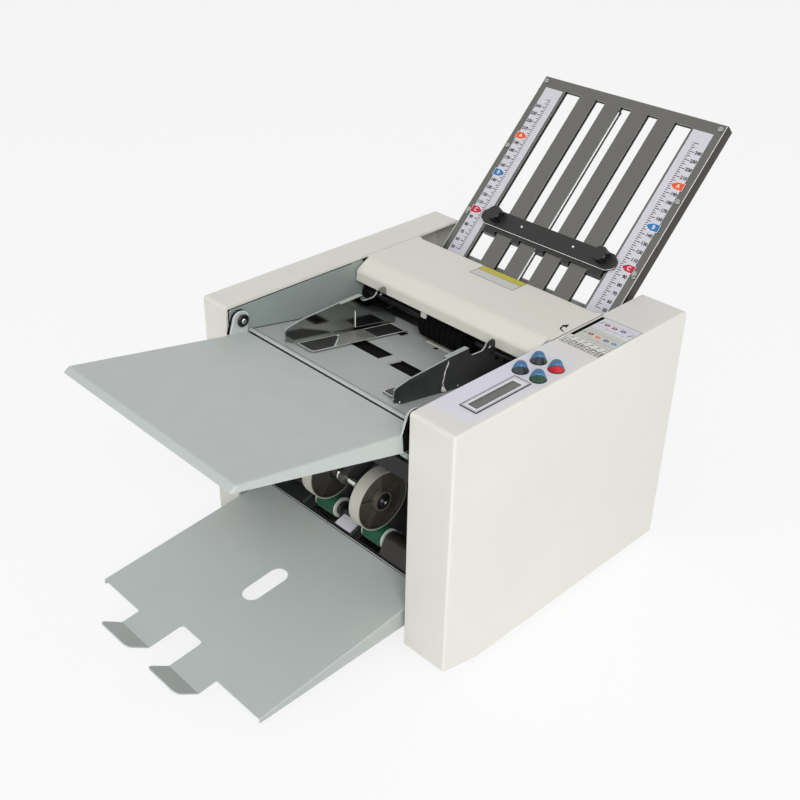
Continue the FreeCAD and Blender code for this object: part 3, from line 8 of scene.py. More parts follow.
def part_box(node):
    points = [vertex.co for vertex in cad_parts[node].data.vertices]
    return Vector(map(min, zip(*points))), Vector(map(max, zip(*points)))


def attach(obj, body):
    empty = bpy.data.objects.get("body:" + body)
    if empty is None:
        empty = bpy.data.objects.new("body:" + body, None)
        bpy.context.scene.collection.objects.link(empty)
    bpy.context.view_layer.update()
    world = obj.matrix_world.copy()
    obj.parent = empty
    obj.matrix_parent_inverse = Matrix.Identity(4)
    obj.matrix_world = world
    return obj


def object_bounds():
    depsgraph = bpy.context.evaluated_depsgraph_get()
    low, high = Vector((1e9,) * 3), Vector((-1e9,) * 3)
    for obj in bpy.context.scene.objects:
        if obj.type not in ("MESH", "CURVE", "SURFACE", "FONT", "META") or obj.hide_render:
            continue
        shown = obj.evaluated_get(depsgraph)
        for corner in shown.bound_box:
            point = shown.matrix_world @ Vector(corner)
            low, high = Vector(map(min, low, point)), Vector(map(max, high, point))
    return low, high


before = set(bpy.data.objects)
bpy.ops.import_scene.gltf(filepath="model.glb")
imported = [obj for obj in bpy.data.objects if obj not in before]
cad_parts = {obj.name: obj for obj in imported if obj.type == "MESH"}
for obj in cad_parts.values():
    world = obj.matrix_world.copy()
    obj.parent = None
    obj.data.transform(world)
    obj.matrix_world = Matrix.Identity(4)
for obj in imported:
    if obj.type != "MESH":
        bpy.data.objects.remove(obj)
cad_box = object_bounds()
scene = bpy.context.scene

# Lengths below are millimetres in the machine frame: x from midway between the housings,
# y from their front faces to the rear, z from their lower edges.
MM = 0.001
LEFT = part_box("left_housing")
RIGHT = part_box("right_housing")
ORIGIN = Vector(((LEFT[1].x + RIGHT[0].x) / 2, RIGHT[0].y, RIGHT[0].z))
TOP = (RIGHT[1].z - RIGHT[0].z) / MM
WALL_X = (RIGHT[0].x - ORIGIN.x) / MM
SIDES = (-1, 1)


def at(x, y, z, degrees=0.0, axis="X"):
    """Place of a local drawing: turned about an axis, then moved."""
    return Matrix.Translation((x, y, z)) @ Matrix.Rotation(math.radians(degrees), 4, axis)


MACHINE = Matrix.Translation(ORIGIN) @ Matrix.Scale(MM, 4)
PANEL = MACHINE @ at(0, 0, TOP)
COVER = MACHINE @ at(0, 0, TOP - 0.5)
# Turns a flat drawing's (x, y, z) to (y, z, x), to stand it across the machine.
STAND = Matrix(((0, 0, 1, 0), (1, 0, 0, 0), (0, 1, 0, 0), (0, 0, 0, 1)))
ACROSS = MACHINE @ STAND


def node_box(node):
    """A CAD node's corners in the machine frame, in millimetres."""
    low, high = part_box(node)
    return (low - ORIGIN) / MM, (high - ORIGIN) / MM


def node_axis(node):
    """The (y, z) of a turned node's axis across the machine."""
    low, high = node_box(node)
    return (low.y + high.y) / 2, (low.z + high.z) / 2


def inclined(zero, slope):
    """Place of a sloping sheet: local y runs along it towards the rear, z out of its face."""
    return MACHINE @ at(0, *zero, math.degrees(slope))


# The upper fold plate rises to the rear; its rulers start RULER_FOOT up the slope.
UPPER_SLOPE = math.radians(45.3)
RULER_FOOT = 25.0
RULER_T = 0.6
ruler_low = node_box("plate_rulers")[0]
UPPER = inclined((ruler_low.y - RULER_FOOT * math.cos(UPPER_SLOPE) + RULER_T * math.sin(UPPER_SLOPE),
                  ruler_low.z - RULER_FOOT * math.sin(UPPER_SLOPE)), UPPER_SLOPE)
RULERS = UPPER @ at(0, 0, RULER_T)

# The feed table rises to the front and the bed falls to the rear from the same edge.
BED_ZERO = (19.0, TOP - 29.5)
BED_SLOPE = math.radians(10.3)
TABLE_SLOPE = math.radians(10.6)
BED = inclined(BED_ZERO, -BED_SLOPE)
TABLE = inclined(BED_ZERO, -TABLE_SLOPE)
BED_BEND_END = 11.2  # along the bed
# Past BED_LIT_END along the bed, its paint is darkened as painted shadow under the cover.
BED_LIT_END = 178.0

# The exit chute rises to the rear from just above its front edge.
CHUTE_SLOPE = math.radians(18.85)
chute_low, chute_high = node_box("exit_guide")
CHUTE_ZERO = (chute_low.y, chute_low.z + 1.2)
CHUTE = inclined(CHUTE_ZERO, CHUTE_SLOPE)


# ---- materials ----
MATERIALS = {}


def linear(colour, factor=1.0):
    """Linear colour of a display colour, times a factor."""
    channels = []
    for value in colour:
        value /= 255
        value = value / 12.92 if value <= 0.04045 else ((value + 0.055) / 1.055) ** 2.4
        channels.append(value * factor)
    return (*channels, 1.0)


class Shade:
    """A principled material fed by procedural nodes."""

    def __init__(self, name, roughness=0.5, metallic=0.0, coat=0.0):
        material = bpy.data.materials.new(name)
        material.use_nodes = True
        MATERIALS[name] = material
        self.tree = material.node_tree
        self.shader = self.tree.nodes["Principled BSDF"]
        self.fix("Roughness", roughness)
        self.fix("Metallic", metallic)
        self.fix("Coat Weight", coat)
        self.place = self.node("TexCoord").outputs["Object"]

    def fix(self, name, value):
        """Sets one of the shader's own sockets to a constant."""
        self.shader.inputs[name].default_value = value

    def feed(self, name, socket):
        self.tree.links.new(socket, self.shader.inputs[name])

    def node(self, kind, inputs=None, **settings):
        made = self.tree.nodes.new("ShaderNode" + kind)
        for name, value in settings.items():
            setattr(made, name, value)
        for name, value in (inputs or {}).items():
            if isinstance(value, bpy.types.NodeSocket):
                self.tree.links.new(value, made.inputs[name])
            else:
                made.inputs[name].default_value = value
        return made

    def stretched(self, scale, turn=(0, 0, 0)):
        """Object coordinates turned, then scaled along each axis."""
        turned_place = self.node("Mapping", {"Vector": self.place, "Rotation": turn})
        scaled = self.node("Mapping", {"Vector": turned_place.outputs[0], "Scale": scale})
        return scaled.outputs[0]

    def noise(self, scale, detail=3.0, vector=None, rough=0.5):
        made = self.node("TexNoise", {"Vector": vector or self.place, "Scale": scale,
                                      "Detail": detail, "Roughness": rough})
        return made.outputs["Fac"]

    def math(self, operation, a, b=0.0):
        return self.node("Math", {0: a, 1: b}, operation=operation).outputs[0]

    def times(self, a, b):
        return self.math("MULTIPLY", a, b)

    def minus(self, a, b):
        return self.math("SUBTRACT", a, b)

    def band(self, value, low, high, to_low=0.0, to_high=1.0):
        """Value mapped smoothly from low..high to to_low..to_high and held outside."""
        made = self.node("MapRange", {"Value": value, "From Min": low, "From Max": high,
                                      "To Min": to_low, "To Max": to_high},
                         interpolation_type="SMOOTHSTEP")
        return made.outputs["Result"]

    def mix(self, factor, a, b):
        """Colour a where the factor is zero and b where it is one."""
        return self.node("Mix", {0: factor, 6: a, 7: b}, data_type="RGBA").outputs[2]

    def tints(self, factor, colour, low, high):
        """A colour that varies between two brightnesses."""
        return self.mix(factor, linear(colour, low), linear(colour, high))

    def along(self, axis, zero=0.0):
        """Machine coordinate X, Y or Z in millimetres, less a zero."""
        split = self.node("SeparateXYZ", {"Vector": self.place})
        start = ORIGIN["XYZ".index(axis)] + zero * MM
        return self.times(self.minus(split.outputs[axis], start), 1 / MM)

    def facing(self, axis):
        """Component of the surface's own direction along X, Y or Z."""
        flat = self.node("NewGeometry")
        return self.node("SeparateXYZ", {"Vector": flat.outputs["Normal"]}).outputs[axis]

    def edge(self, radius, low=0.02, high=0.3):
        """One at the solid's edges and tight bends, within a radius in millimetres."""
        bevel = self.node("Bevel", {"Radius": radius * MM}, samples=6)
        flat = self.node("NewGeometry")
        normals = {0: bevel.outputs["Normal"], 1: flat.outputs["True Normal"]}
        agree = self.node("VectorMath", normals, operation="DOT_PRODUCT")
        return self.band(agree.outputs["Value"], 1 - high, 1 - low, 1.0, 0.0)

    def colour(self, socket):
        self.feed("Base Color", socket)

    def over(self, mask, top, factor=1.0):
        """Lays a socket, or a display colour times a factor, over the base colour so far."""
        so_far = self.shader.inputs["Base Color"].links[0].from_socket
        if isinstance(top, tuple):
            top = linear(top, factor)
        self.colour(self.mix(mask, so_far, top))

    def uneven(self, factor, low, high):
        """Roughness that wanders between two values."""
        self.feed("Roughness", self.band(factor, 0.3, 0.7, low, high))

    def bump(self, height, strength, depth):
        """Bump of a depth in millimetres."""
        inputs = {"Height": height, "Strength": strength, "Distance": depth * MM}
        self.feed("Normal", self.node("Bump", inputs).outputs["Normal"])


def plastic(name, colour, roughness=0.45, grain=900.0, mottle=0.04, depth=0.04, coat=0.0):
    """Moulded plastic: fine grain, faint mottling and slightly uneven gloss."""
    shade = Shade(name, roughness, 0.0, coat)
    shade.colour(shade.tints(shade.noise(9.0, 4.0), colour, 1 - mottle, 1 + mottle))
    shade.uneven(shade.noise(60.0, 2.0), roughness - 0.05, roughness + 0.06)
    shade.bump(shade.noise(grain, 2.0), 0.35, depth)
    return shade


def paint(name, colour, roughness=0.42):
    """Powder-coated steel: soft orange peel, faint clouding and fine darker specks."""
    shade = Shade(name, roughness)
    shade.colour(shade.tints(shade.noise(7.0, 5.0), colour, 0.965, 1.035))
    speck = shade.band(shade.noise(1500.0, 1.0), 0.66, 0.76)
    shade.over(shade.times(speck, 0.25), colour, 0.8)
    shade.uneven(shade.noise(35.0, 3.0), roughness - 0.05, roughness + 0.07)
    shade.bump(shade.noise(420.0, 2.0), 0.3, 0.05)
    return shade


def rubber(name, colour, roughness=0.75):
    """Rubber: strong fine mottling and grain."""
    shade = Shade(name, roughness)
    shade.colour(shade.tints(shade.noise(120.0, 4.0), colour, 0.8, 1.25))
    shade.uneven(shade.noise(200.0, 2.0), roughness - 0.1, roughness + 0.1)
    shade.bump(shade.noise(1600.0, 3.0), 0.5, 0.06)
    return shade


def ink(name, colour):
    """Printed or screened ink: slightly uneven density."""
    shade = Shade(name, 0.4)
    shade.colour(shade.tints(shade.noise(300.0, 3.0), colour, 0.93, 1.07))
    shade.bump(shade.noise(2500.0, 1.0), 0.1, 0.01)


def brushed(name, colour, roughness, turn=(0, 0, 0), streak=(40.0, 2600.0, 2600.0), metallic=1.0,
            contrast=0.12):
    """Sheet metal with fine brush lines along one axis and slow clouding."""
    shade = Shade(name, roughness, metallic)
    lines = shade.noise(1.0, 3.0, shade.stretched(streak, turn), 0.6)
    shade.colour(shade.tints(lines, colour, 1 - contrast, 1 + contrast))
    shade.over(shade.times(shade.noise(11.0, 4.0), 0.3), colour, 0.85)
    shade.uneven(lines, roughness - 0.06, roughness + 0.1)
    shade.bump(lines, 0.12, 0.03)
    return shade


def polished(name):
    """Mirror-finished steel sheet: long faint polishing lines, and a painted highlight along its
    sheared edges.
    """
    steel = (150, 154, 150)
    shade = Shade(name, 0.09, 1.0)
    cloud = shade.noise(14.0, 3.0)
    lines = shade.noise(1.0, 2.0, shade.stretched((30.0, 30.0, 700.0)))
    shade.colour(shade.tints(lines, steel, 0.94, 1.06))
    shade.over(shade.times(cloud, 0.25), steel, 0.8)
    shade.over(shade.edge(0.9), (225, 228, 226))
    shade.uneven(cloud, 0.06, 0.13)
    shade.bump(shade.noise(5.0, 1.0), 0.08, 0.4)
    return shade


def dark_blade(name):
    """Polished side guide whose outer face is painted dark and dull: a painted reflection of the
    shaded inside it faces.
    """
    shade = polished(name)
    outer = shade.band(shade.facing("X"), 0.8, 0.95)
    mask = shade.times(outer, shade.minus(1.0, shade.edge(0.9)))
    cloud = shade.band(shade.noise(22.0, 2.0), 0.35, 0.65)
    shade.over(mask, shade.mix(cloud, linear((44, 45, 45)), linear((70, 72, 71))))
    shade.feed("Roughness", shade.band(mask, 0.0, 1.0, 0.1, 0.42))
    shade.feed("Metallic", shade.band(mask, 0.0, 1.0, 1.0, 0.35))


def edged(shade, colour, radius, amount):
    """Paints a highlight (a lighter colour) or shade (a darker colour) along the solid's edges."""
    shade.over(shade.times(shade.edge(radius), amount), colour)
    return shade


def matt_black(name, colour):
    """Unlit recesses: almost black, no sheen."""
    rubber(name, colour, 0.95).fix("Specular IOR Level", 0.1)


KEY_BLUE = (58, 122, 166)
KEY_NAVY = (28, 44, 66)
LENS_WAY = (0.66, -0.75)  # along x and y, towards the operator
LENS_RISE = 1.4


def key_plastic(name, lens, node):
    """Domed key: blue shell, dark foot and tip, coloured lens sloping to the operator."""
    low, high = node_box(node)
    shade = Shade(name, 0.14, 0.0, 0.22)
    shade.fix("Specular IOR Level", 0.35)
    x = shade.along("X", (low.x + high.x) / 2)
    y = shade.along("Y", (low.y + high.y) / 2)
    height = shade.along("Z", TOP)
    ahead = shade.math("ADD", shade.times(x, LENS_WAY[0]), shade.times(y, LENS_WAY[1]))
    slope = shade.minus(shade.times(ahead, LENS_RISE), height)
    cloud = shade.noise(160.0)
    shade.colour(shade.tints(cloud, KEY_BLUE, 0.6, 1.35))
    shade.over(shade.band(slope, -0.4, 0.2), shade.tints(cloud, lens, 0.8, 1.2))
    shade.over(shade.band(shade.math("ABSOLUTE", slope), 0.2, 0.9, 0.8, 0.0), KEY_NAVY)
    shade.over(shade.band(height, 7.2, 9.0, 0.0, 0.3), KEY_NAVY)
    shade.over(shade.band(height, 0.3, 1.5, 0.97, 0.0), (18, 20, 26))
    shade.bump(shade.noise(900.0), 0.1, 0.02)


def wheel_material(name, tread, web):
    """Moulded wheel: pale tread; web and hub darkened inside the rim and towards the bottom as
    painted shade, less at the ribs' edges.
    """
    low, high = node_box("exit_wheels")
    rim = (high.z - low.z) / 2
    shade = plastic(name, tread, 0.5, 700.0, 0.05)
    y, z = (shade.along(axis, zero) for axis, zero in zip("YZ", node_axis("exit_wheels")))
    radius = shade.math("SQRT", shade.math("ADD", shade.times(y, y), shade.times(z, z)))
    # Painted shade inside the rim, lighter at the ribs' edges as painted highlight, deeper towards
    # the bottom.
    inside = shade.band(radius, rim - 1.6, rim - 0.6, 1.0, 0.0)
    ribs = shade.times(shade.edge(1.4, 0.05, 0.4), 0.1)
    dim = shade.tints(shade.band(z, -rim, rim), web, 0.55, 1.25)
    shade.over(shade.times(inside, shade.minus(1.0, ribs)), dim)


def bed_material(name):
    """Painted bed, with painted shade in the gap behind the table, a painted shadow under the cover,
    a painted shade line at its bend and a painted highlight along its edges.
    """
    shade = paint(name, (177, 181, 179))
    back = shade.times(shade.along("Y", BED_ZERO[0]), math.cos(BED_SLOPE))
    s = shade.minus(back, shade.times(shade.along("Z", BED_ZERO[1]), math.sin(BED_SLOPE)))
    # Painted shade line along the bend, painted highlight on the edges, painted shade on faces
    # towards the gap and painted shadow under the cover.
    from_bend = shade.math("ABSOLUTE", shade.minus(s, BED_BEND_END))
    shade.over(shade.band(from_bend, 0.4, 1.8, 0.45, 0.0), (88, 91, 90))
    edged(shade, (205, 208, 206), 0.6, 0.4)
    skirt = shade.band(shade.facing("Y"), -0.72, -0.55, 1.0, 0.0)
    under = shade.band(s, BED_LIT_END, BED_LIT_END + 2.5)
    shade.over(shade.math("MAXIMUM", skirt, under), (20, 21, 21))


TABLE_GREY = (191, 197, 194)


def table_paint(name):
    """Grey-green paint with a painted highlight along its edges."""
    return edged(paint(name, TABLE_GREY), (222, 227, 224), 0.8, 0.7)


def tray_material(name):
    """Painted tray: its right flange darkened as painted shade, with a painted highlight along the
    bend above it.
    """
    right = node_box("delivery_tray")[1].x
    shade = table_paint(name)
    shade.over(shade.band(shade.facing("X"), 0.6, 0.9), TABLE_GREY, 0.85)
    near = shade.band(shade.along("X"), right - 4.0, right - 3.0)
    shade.over(shade.times(shade.edge(2.0), near), (240, 242, 240))


UP_SLOPE = {"turn": (-UPPER_SLOPE, 0, 0), "streak": (2600.0, 30.0, 2600.0)}


def plate_material(name):
    """Brushed fold plate: brush lines up its slope, right flange darkened as painted shade, painted
    highlight along the edges.
    """
    shade = brushed(name, (113, 112, 108), 0.36, **UP_SLOPE)
    shade.over(shade.band(shade.facing("X"), 0.6, 0.9), (72, 68, 63))
    edged(shade, (232, 231, 226), 0.6, 0.8)


def screen_film(name):
    """Display screen, darker along the side away from the operator as painted shade from the raised
    frame round it.
    """
    left = node_box("display_window")[0].x
    shade = plastic(name, (98, 99, 94), 0.3, 400.0, 0.1, 0.01, 0.15)
    shade.over(shade.band(shade.along("X"), left + 5, left + 9, 0.85, 0.15), (62, 62, 60))


CREAM = (229, 227, 220)
# Where the panel film's tint sets in and fades, in the machine's x and y.
FILM_FRONT = (8, 40)
FILM_REAR = (120, 205)
FILM_RIGHT = (166, 181)


def panel_housing(name):
    """Cream moulded plastic; the control panel's film tints the top lilac towards the front."""
    shade = plastic(name, CREAM)
    mask = shade.band(shade.along("Y"), *FILM_REAR, 1.0, 0.1)
    mask = shade.times(mask, shade.band(shade.along("Y"), *FILM_FRONT))
    mask = shade.times(mask, shade.band(shade.along("Z"), TOP - 0.6, TOP - 0.1))
    mask = shade.times(mask, shade.band(shade.along("X"), *FILM_RIGHT, 1.0, 0.2))
    shade.over(mask, (225, 223, 235))


plastic("cream_housing", CREAM)
panel_housing("panel_housing")
plastic("cover_plastic", (229, 226, 217))
table_paint("grey_green_paint")
tray_material("tray_paint")
bed_material("bed_paint")
# Lighter than the bed: a painted highlight on its rolled front edge.
paint("bead_highlight_paint", (190, 194, 192), 0.3)
paint("hood_brown", (38, 35, 33), 0.45)
# White paint for painted highlights along bends, edges and the guide's seam, and for the shine of
# the bright rod, pins and rivets.
paint("bright_edge", (240, 240, 237), 0.35)
paint("motor_case", (44, 46, 48), 0.5)
# Grey for the bed's strip, and as painted highlight on the guides' foot rims and the chute's front
# edge.
paint("strip_grey", (206, 208, 205))
paint("rib_grey", (74, 76, 76))
# Painted shade along the frames' edges; painted highlight along the chute's and the stop bars'
# edges.
edged(paint("frame_paint", (150, 160, 156)), (70, 74, 72), 0.6, 0.6)
edged(paint("chute_paint", (37, 38, 38), 0.3), (130, 130, 128), 0.5, 0.6)
edged(paint("stop_steel", (27, 26, 25), 0.4), (176, 174, 168), 0.5, 0.75)
plate_material("plate_steel")
polished("guide_steel")
dark_blade("guide_painted_reflection")
brushed("zinc_steel", (176, 176, 172), 0.3)
brushed("bracket_zinc", (96, 96, 94), 0.35, metallic=0.3)
brushed("pin_bright", (240, 240, 236), 0.22, metallic=0.25)
brushed("chrome", (205, 205, 203), 0.12, contrast=0.05)
brushed("dark_steel", (66, 63, 60), 0.34, metallic=0.85)
brushed("shadow_steel", (24, 24, 25), 0.45, metallic=0.2)
brushed("roller_steel", (140, 140, 142), 0.25, streak=(30.0, 900.0, 900.0))
brushed("back_steel", (120, 117, 113), 0.34, **UP_SLOPE)
brushed("rod_bright", (240, 240, 236), 0.18, UP_SLOPE["turn"], (900.0, 20.0, 900.0))
# Painted highlight along the edges of the lower fold plates and the clips.
edged(brushed("lower_steel", (84, 84, 84), 0.34), (190, 190, 186), 0.6, 0.7)
edged(brushed("clip_alloy", (196, 196, 192), 0.34), (240, 240, 236), 0.8, 0.85)
plastic("black_plastic", (30, 30, 31), 0.38, 1400.0, 0.15)
plastic("gloss_black", (17, 17, 18), 0.2, 900.0, 0.15, 0.02, 0.1)
plastic("hub_brown", (40, 37, 35), 0.3, 700.0, 0.15, 0.03, 0.2)
plastic("wheel_boss", (104, 99, 89), 0.45, 700.0, 0.08)
# Dark patches on the guides' polished feet: painted reflection.
plastic("foot_dark_reflection", (25, 26, 25), 0.45, 700.0, 0.12, 0.02)
plastic("ruler_film", (214, 213, 221), 0.35, 1500.0, 0.02, 0.01)
plastic("white_plastic", (214, 213, 208), 0.4)
plastic("gear_plastic", (205, 202, 186), 0.5)
plastic("board_green", (24, 90, 55), 0.4, 300.0, 0.2)
plastic("display_frame", (226, 225, 232), 0.3, 1500.0, 0.02, 0.01, 0.3)
wheel_material("wheel_plastic", (196, 193, 182), (84, 80, 72))
matt_black("feed_rubber", (8, 8, 8))
# Black for print, and for painted shade in seams, gaps, window pockets, by the pivot ears and behind
# the chute's front edge.
matt_black("black_print_and_shade", (10, 10, 10))
rubber("black_rubber", (34, 34, 34))
rubber("green_rubber", (2, 76, 50), 0.7)
rubber("pad_rubber", (176, 172, 160), 0.7)
screen_film("screen_grey")
key_plastic("grey_key", (46, 50, 56), "down_button")
key_plastic("up_key", (46, 50, 56), "up_button")
key_plastic("green_key", (4, 66, 42), "start_button")
key_plastic("red_key", (190, 6, 34), "stop_button")

INKS = {
    "white_ink": (238, 238, 240), "black_ink": (24, 24, 26), "tick_ink": (44, 44, 47),
    "sign_ink": (34, 34, 36), "grey_ink": (92, 94, 96), "red_ink": (196, 32, 58),
    "crimson_ink": (140, 34, 66), "navy_ink": (46, 62, 140), "orange_ink": (232, 92, 42),
    "blue_ink": (44, 118, 178), "maroon_ink": (98, 44, 52), "amber_ink": (216, 104, 66),
    "yellow_ink": (196, 186, 60), "sticker_grey": (206, 207, 204), "chart_lilac": (221, 220, 229),
    "chart_green": (205, 207, 197), "label_white": (226, 224, 232)}
for ink_name, ink_colour in INKS.items():
    ink(ink_name, ink_colour)

NODE_MATERIALS = {
    "frame_paint": "left_side_frame right_side_frame",
    "cream_housing": "left_housing",
    "panel_housing": "right_housing",
    "cover_plastic": "top_cover",
    "grey_green_paint": "rear_lower_panel rear_upper_panel feed_table",
    "tray_paint": "delivery_tray",
    "bed_paint": "feed_bed",
    "chute_paint": "exit_guide",
    "zinc_steel": "base_plate tie_rods pivot_screws machine_screws motor_rotor",
    "bracket_zinc": "wheel_carrier",
    "shadow_steel": "cross_channel feed_shaft exit_roller_shaft",
    "dark_steel": "plate_brackets",
    "chrome": "wheel_shaft",
    "plate_steel": "upper_fold_plate",
    "back_steel": "upper_back_sheet",
    "lower_steel": "lower_fold_plate lower_back_sheet",
    "stop_steel": "upper_stop lower_stop",
    "guide_steel": "left_guide",
    "guide_painted_reflection": "right_guide",
    "roller_steel": "fold_roller_1 fold_roller_2 fold_roller_3 fold_roller_4",
    "gear_plastic": "roller_gear_1 roller_gear_2 roller_gear_3 roller_gear_4",
    "black_plastic": "shaft_bushes power_inlet wheel_bushes power_rocker",
    "gloss_black": "left_stop_knob right_stop_knob lower_stop_knob",
    "white_plastic": "exit_roller_cores",
    "wheel_plastic": "exit_wheels",
    "black_rubber": "rubber_feet drive_belts",
    "green_rubber": "exit_rollers",
    "feed_rubber": "feed_roller",
    "pad_rubber": "separator_pad",
    "motor_case": "motor",
    "board_green": "control_board",
    "ruler_film": "plate_rulers",
    "display_frame": "display_window",
    "grey_key": "down_button",
    "up_key": "up_button",
    "green_key": "start_button",
    "red_key": "stop_button",
}
for material, nodes in NODE_MATERIALS.items():
    for node in nodes.split():
        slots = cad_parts[node].data.materials
        slots.clear()
        slots.append(MATERIALS[material])


# ---- building pieces ----
DRAFTS = []


def piece(name, material, place=MACHINE, body="machine"):
    """Starts a piece that rides on a body; its shape is drawn in local millimetres."""
    work = bmesh.new()
    DRAFTS.append((work, name, material, place, body))
    return work


def finish(work, name, material, place, body):
    """Turns a drawn shape into a smooth-shaded object with sharp corners."""
    bmesh.ops.recalc_face_normals(work, faces=work.faces)
    if place.determinant() < 0:
        bmesh.ops.reverse_faces(work, faces=work.faces)
    work.transform(place)
    mesh = bpy.data.meshes.new(name)
    work.to_mesh(mesh)
    work.free()
    mesh.materials.append(MATERIALS[material])
    mesh.shade_smooth()
    mesh.set_sharp_from_angle(angle=math.radians(35))
    made = bpy.data.objects.new(name, mesh)
    scene.collection.objects.link(made)
    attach(made, body)


INK = 0.05  # thickness of print


def skin(work, outlines):
    """Adds a solid through outlines of points, closed by the first and the last."""
    rings = [[work.verts.new(point) for point in outline] for outline in outlines]
    for lower, upper in zip(rings, rings[1:]):
        for i in range(len(lower)):
            work.faces.new((lower[i - 1], lower[i], upper[i], upper[i - 1]))
    work.faces.new(rings[0][::-1])
    work.faces.new(rings[-1])


def prism(work, points, low=0.0, high=INK):
    """Adds a straight-sided solid over an outline of (x, y) points."""
    skin(work, [[(x, y, level) for x, y in points] for level in (low, high)])


def bar(work, x, y, low=0.0, high=INK):
    prism(work, [(x[0], y[0]), (x[1], y[0]), (x[1], y[1]), (x[0], y[1])], low, high)


def span(side, inner, outer):
    """A stretch of x, on one side of the middle."""
    return sorted((side * inner, side * outer))


def stroke(work, start, end, width, low=0.0, high=INK):
    """Adds a drawn line of a width from one (x, y) point to another."""
    start, end = Vector(start), Vector(end)
    run = end - start
    side = Vector((-run.y, run.x)).normalized() * width / 2
    prism(work, [tuple(corner) for corner in (start - side, end - side, end + side, start + side)],
          low, high)


def arc(centre, radius, start, sweep, steps=24):
    """Points along an arc, angles in degrees."""
    turns = [math.radians(start + sweep * i / steps) for i in range(steps + 1)]
    return [(centre[0] + radius * math.cos(turn), centre[1] + radius * math.sin(turn))
            for turn in turns]


def strip(work, outer, inner, low, high):
    """Adds the strip between two outlines with equally many points."""
    for i in range(len(outer) - 1):
        prism(work, [outer[i], outer[i + 1], inner[i + 1], inner[i]], low, high)


def ring(work, centre, inner, outer, low=0.0, high=INK):
    strip(work, arc(centre, outer, 0, 360, 40), arc(centre, inner, 0, 360, 40), low, high)


def frame_line(work, x, y, width, low=0.0, high=INK):
    """Adds a rectangular line drawn just inside a rectangle."""
    for level in ((y[0], y[0] + width), (y[1] - width, y[1])):
        bar(work, x, level, low, high)
    for level in ((x[0], x[0] + width), (x[1] - width, x[1])):
        bar(work, level, (y[0] + width, y[1] - width), low, high)


def lathe(work, profile, place=Matrix.Identity(4), steps=32):
    """Adds a solid of revolution about local z from (radius, height) points."""
    skin(work, [[place @ Vector((x, y, height)) for x, y in arc((0, 0), radius, 0, 360, steps)[1:]]
                for radius, height in profile])


def placed(work, place, draw, *numbers):
    """Draws a shape in a piece at a place of its own."""
    count = len(work.verts)
    draw(work, *numbers)
    work.verts.ensure_lookup_table()
    bmesh.ops.transform(work, matrix=place, verts=work.verts[count:])


def glyphs(work, text, height, place, bold):
    """Adds figures as thin solids of a cap height, centred on a place."""
    curve = bpy.data.curves.new("glyphs", "FONT")
    curve.body = text
    curve.size = height / 0.72
    curve.offset = bold * curve.size
    curve.extrude = 0.03
    curve.align_x = "CENTER"
    curve.align_y = "CENTER"
    curve.resolution_u = 4
    holder = bpy.data.objects.new("glyphs", curve)
    mesh = bpy.data.meshes.new_from_object(holder)
    mesh.transform(place)
    work.from_mesh(mesh)
    bpy.data.objects.remove(holder)
    bpy.data.curves.remove(curve)
    bpy.data.meshes.remove(mesh)


def face_edges(node, place, axis, level):
    """Outline of a node's flat face across an axis, as pairs of points in the other two."""
    inverse = place.inverted()
    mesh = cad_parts[node].data
    local = [inverse @ vertex.co for vertex in mesh.vertices]
    plane = [i for i in range(3) if i != axis]
    uses = {}
    for polygon in mesh.polygons:
        if all(abs(local[i][axis] - level) < 0.05 for i in polygon.vertices):
            for key in polygon.edge_keys:
                ends = tuple(sorted(tuple(round(local[i][k], 2) for k in plane) for i in key))
                uses[ends] = uses.get(ends, 0) + 1
    return [ends for ends, count in uses.items() if count == 1 and ends[0] != ends[1]]


# ---- upper fold plate: rulers, rod and screws ----
RULER_SPAN = (50, 250)
TICKS = {10: 7.0, 5: 5.0, 2.5: 3.0}  # length of a tick by its step
TICK_IN = 95.2
TICK_HALF = 0.42
NUMBER_X = 107.2
NUMBER_HEIGHT = 3.7
MARKS = {200: ("A", "orange_ink"), 150: ("B", "blue_ink"), 100: ("C", "red_ink")}
MARK_TIP = (100.3, 1.7)  # centre and radius
MARK_SHOULDER = 104.2
MARK_END = 112.9
MARK_HALF = 4.1
LETTER_X = 106.6
LETTER_HEIGHT = 4.4


def ruler_print():
    """Ticks each 2.5 mm, short at the tags, and figures each 10 mm on both rulers."""
    ticks = piece("ruler_ticks", "tick_ink", RULERS)
    figures = piece("ruler_figures", "black_ink", RULERS)
    finest = min(TICKS)
    for i in range(int((RULER_SPAN[1] - RULER_SPAN[0]) / finest) + 1):
        s = RULER_SPAN[0] + finest * i
        step = finest if s in MARKS else max(step for step in TICKS if s % step == 0)
        for side in SIDES:
            bar(ticks, span(side, TICK_IN, TICK_IN + TICKS[step]), (s - TICK_HALF, s + TICK_HALF))
            if step == 10 and s < RULER_SPAN[1]:
                glyphs(figures, str(int(s)), NUMBER_HEIGHT, at(side * NUMBER_X, s, INK), 0.045)


def mark_outline(side, s, grow):
    """Tag with a rounded point towards the slots."""
    half = MARK_HALF + grow
    outline = [(MARK_END + grow, s - half), (MARK_END + grow, s + half), (MARK_SHOULDER, s + half)]
    outline += arc((MARK_TIP[0], s), MARK_TIP[1] + grow, 130, 100, 8) + [(MARK_SHOULDER, s - half)]
    return [(side * x, y) for x, y in outline]


def ruler_marks():
    """Three coloured tags on each ruler, on white grounds, with their letters."""
    ground = piece("marker_grounds", "white_ink", RULERS)
    letters = piece("marker_letters", "white_ink", RULERS)
    for s, (letter, material) in MARKS.items():
        tags = piece("marker_" + letter, material, RULERS)
        for side in SIDES:
            prism(ground, mark_outline(side, s, 0.5))
            prism(tags, mark_outline(side, s, 0.0), INK, 2 * INK)
            glyphs(letters, letter, LETTER_HEIGHT, at(side * LETTER_X, s, 3 * INK), 0.02)


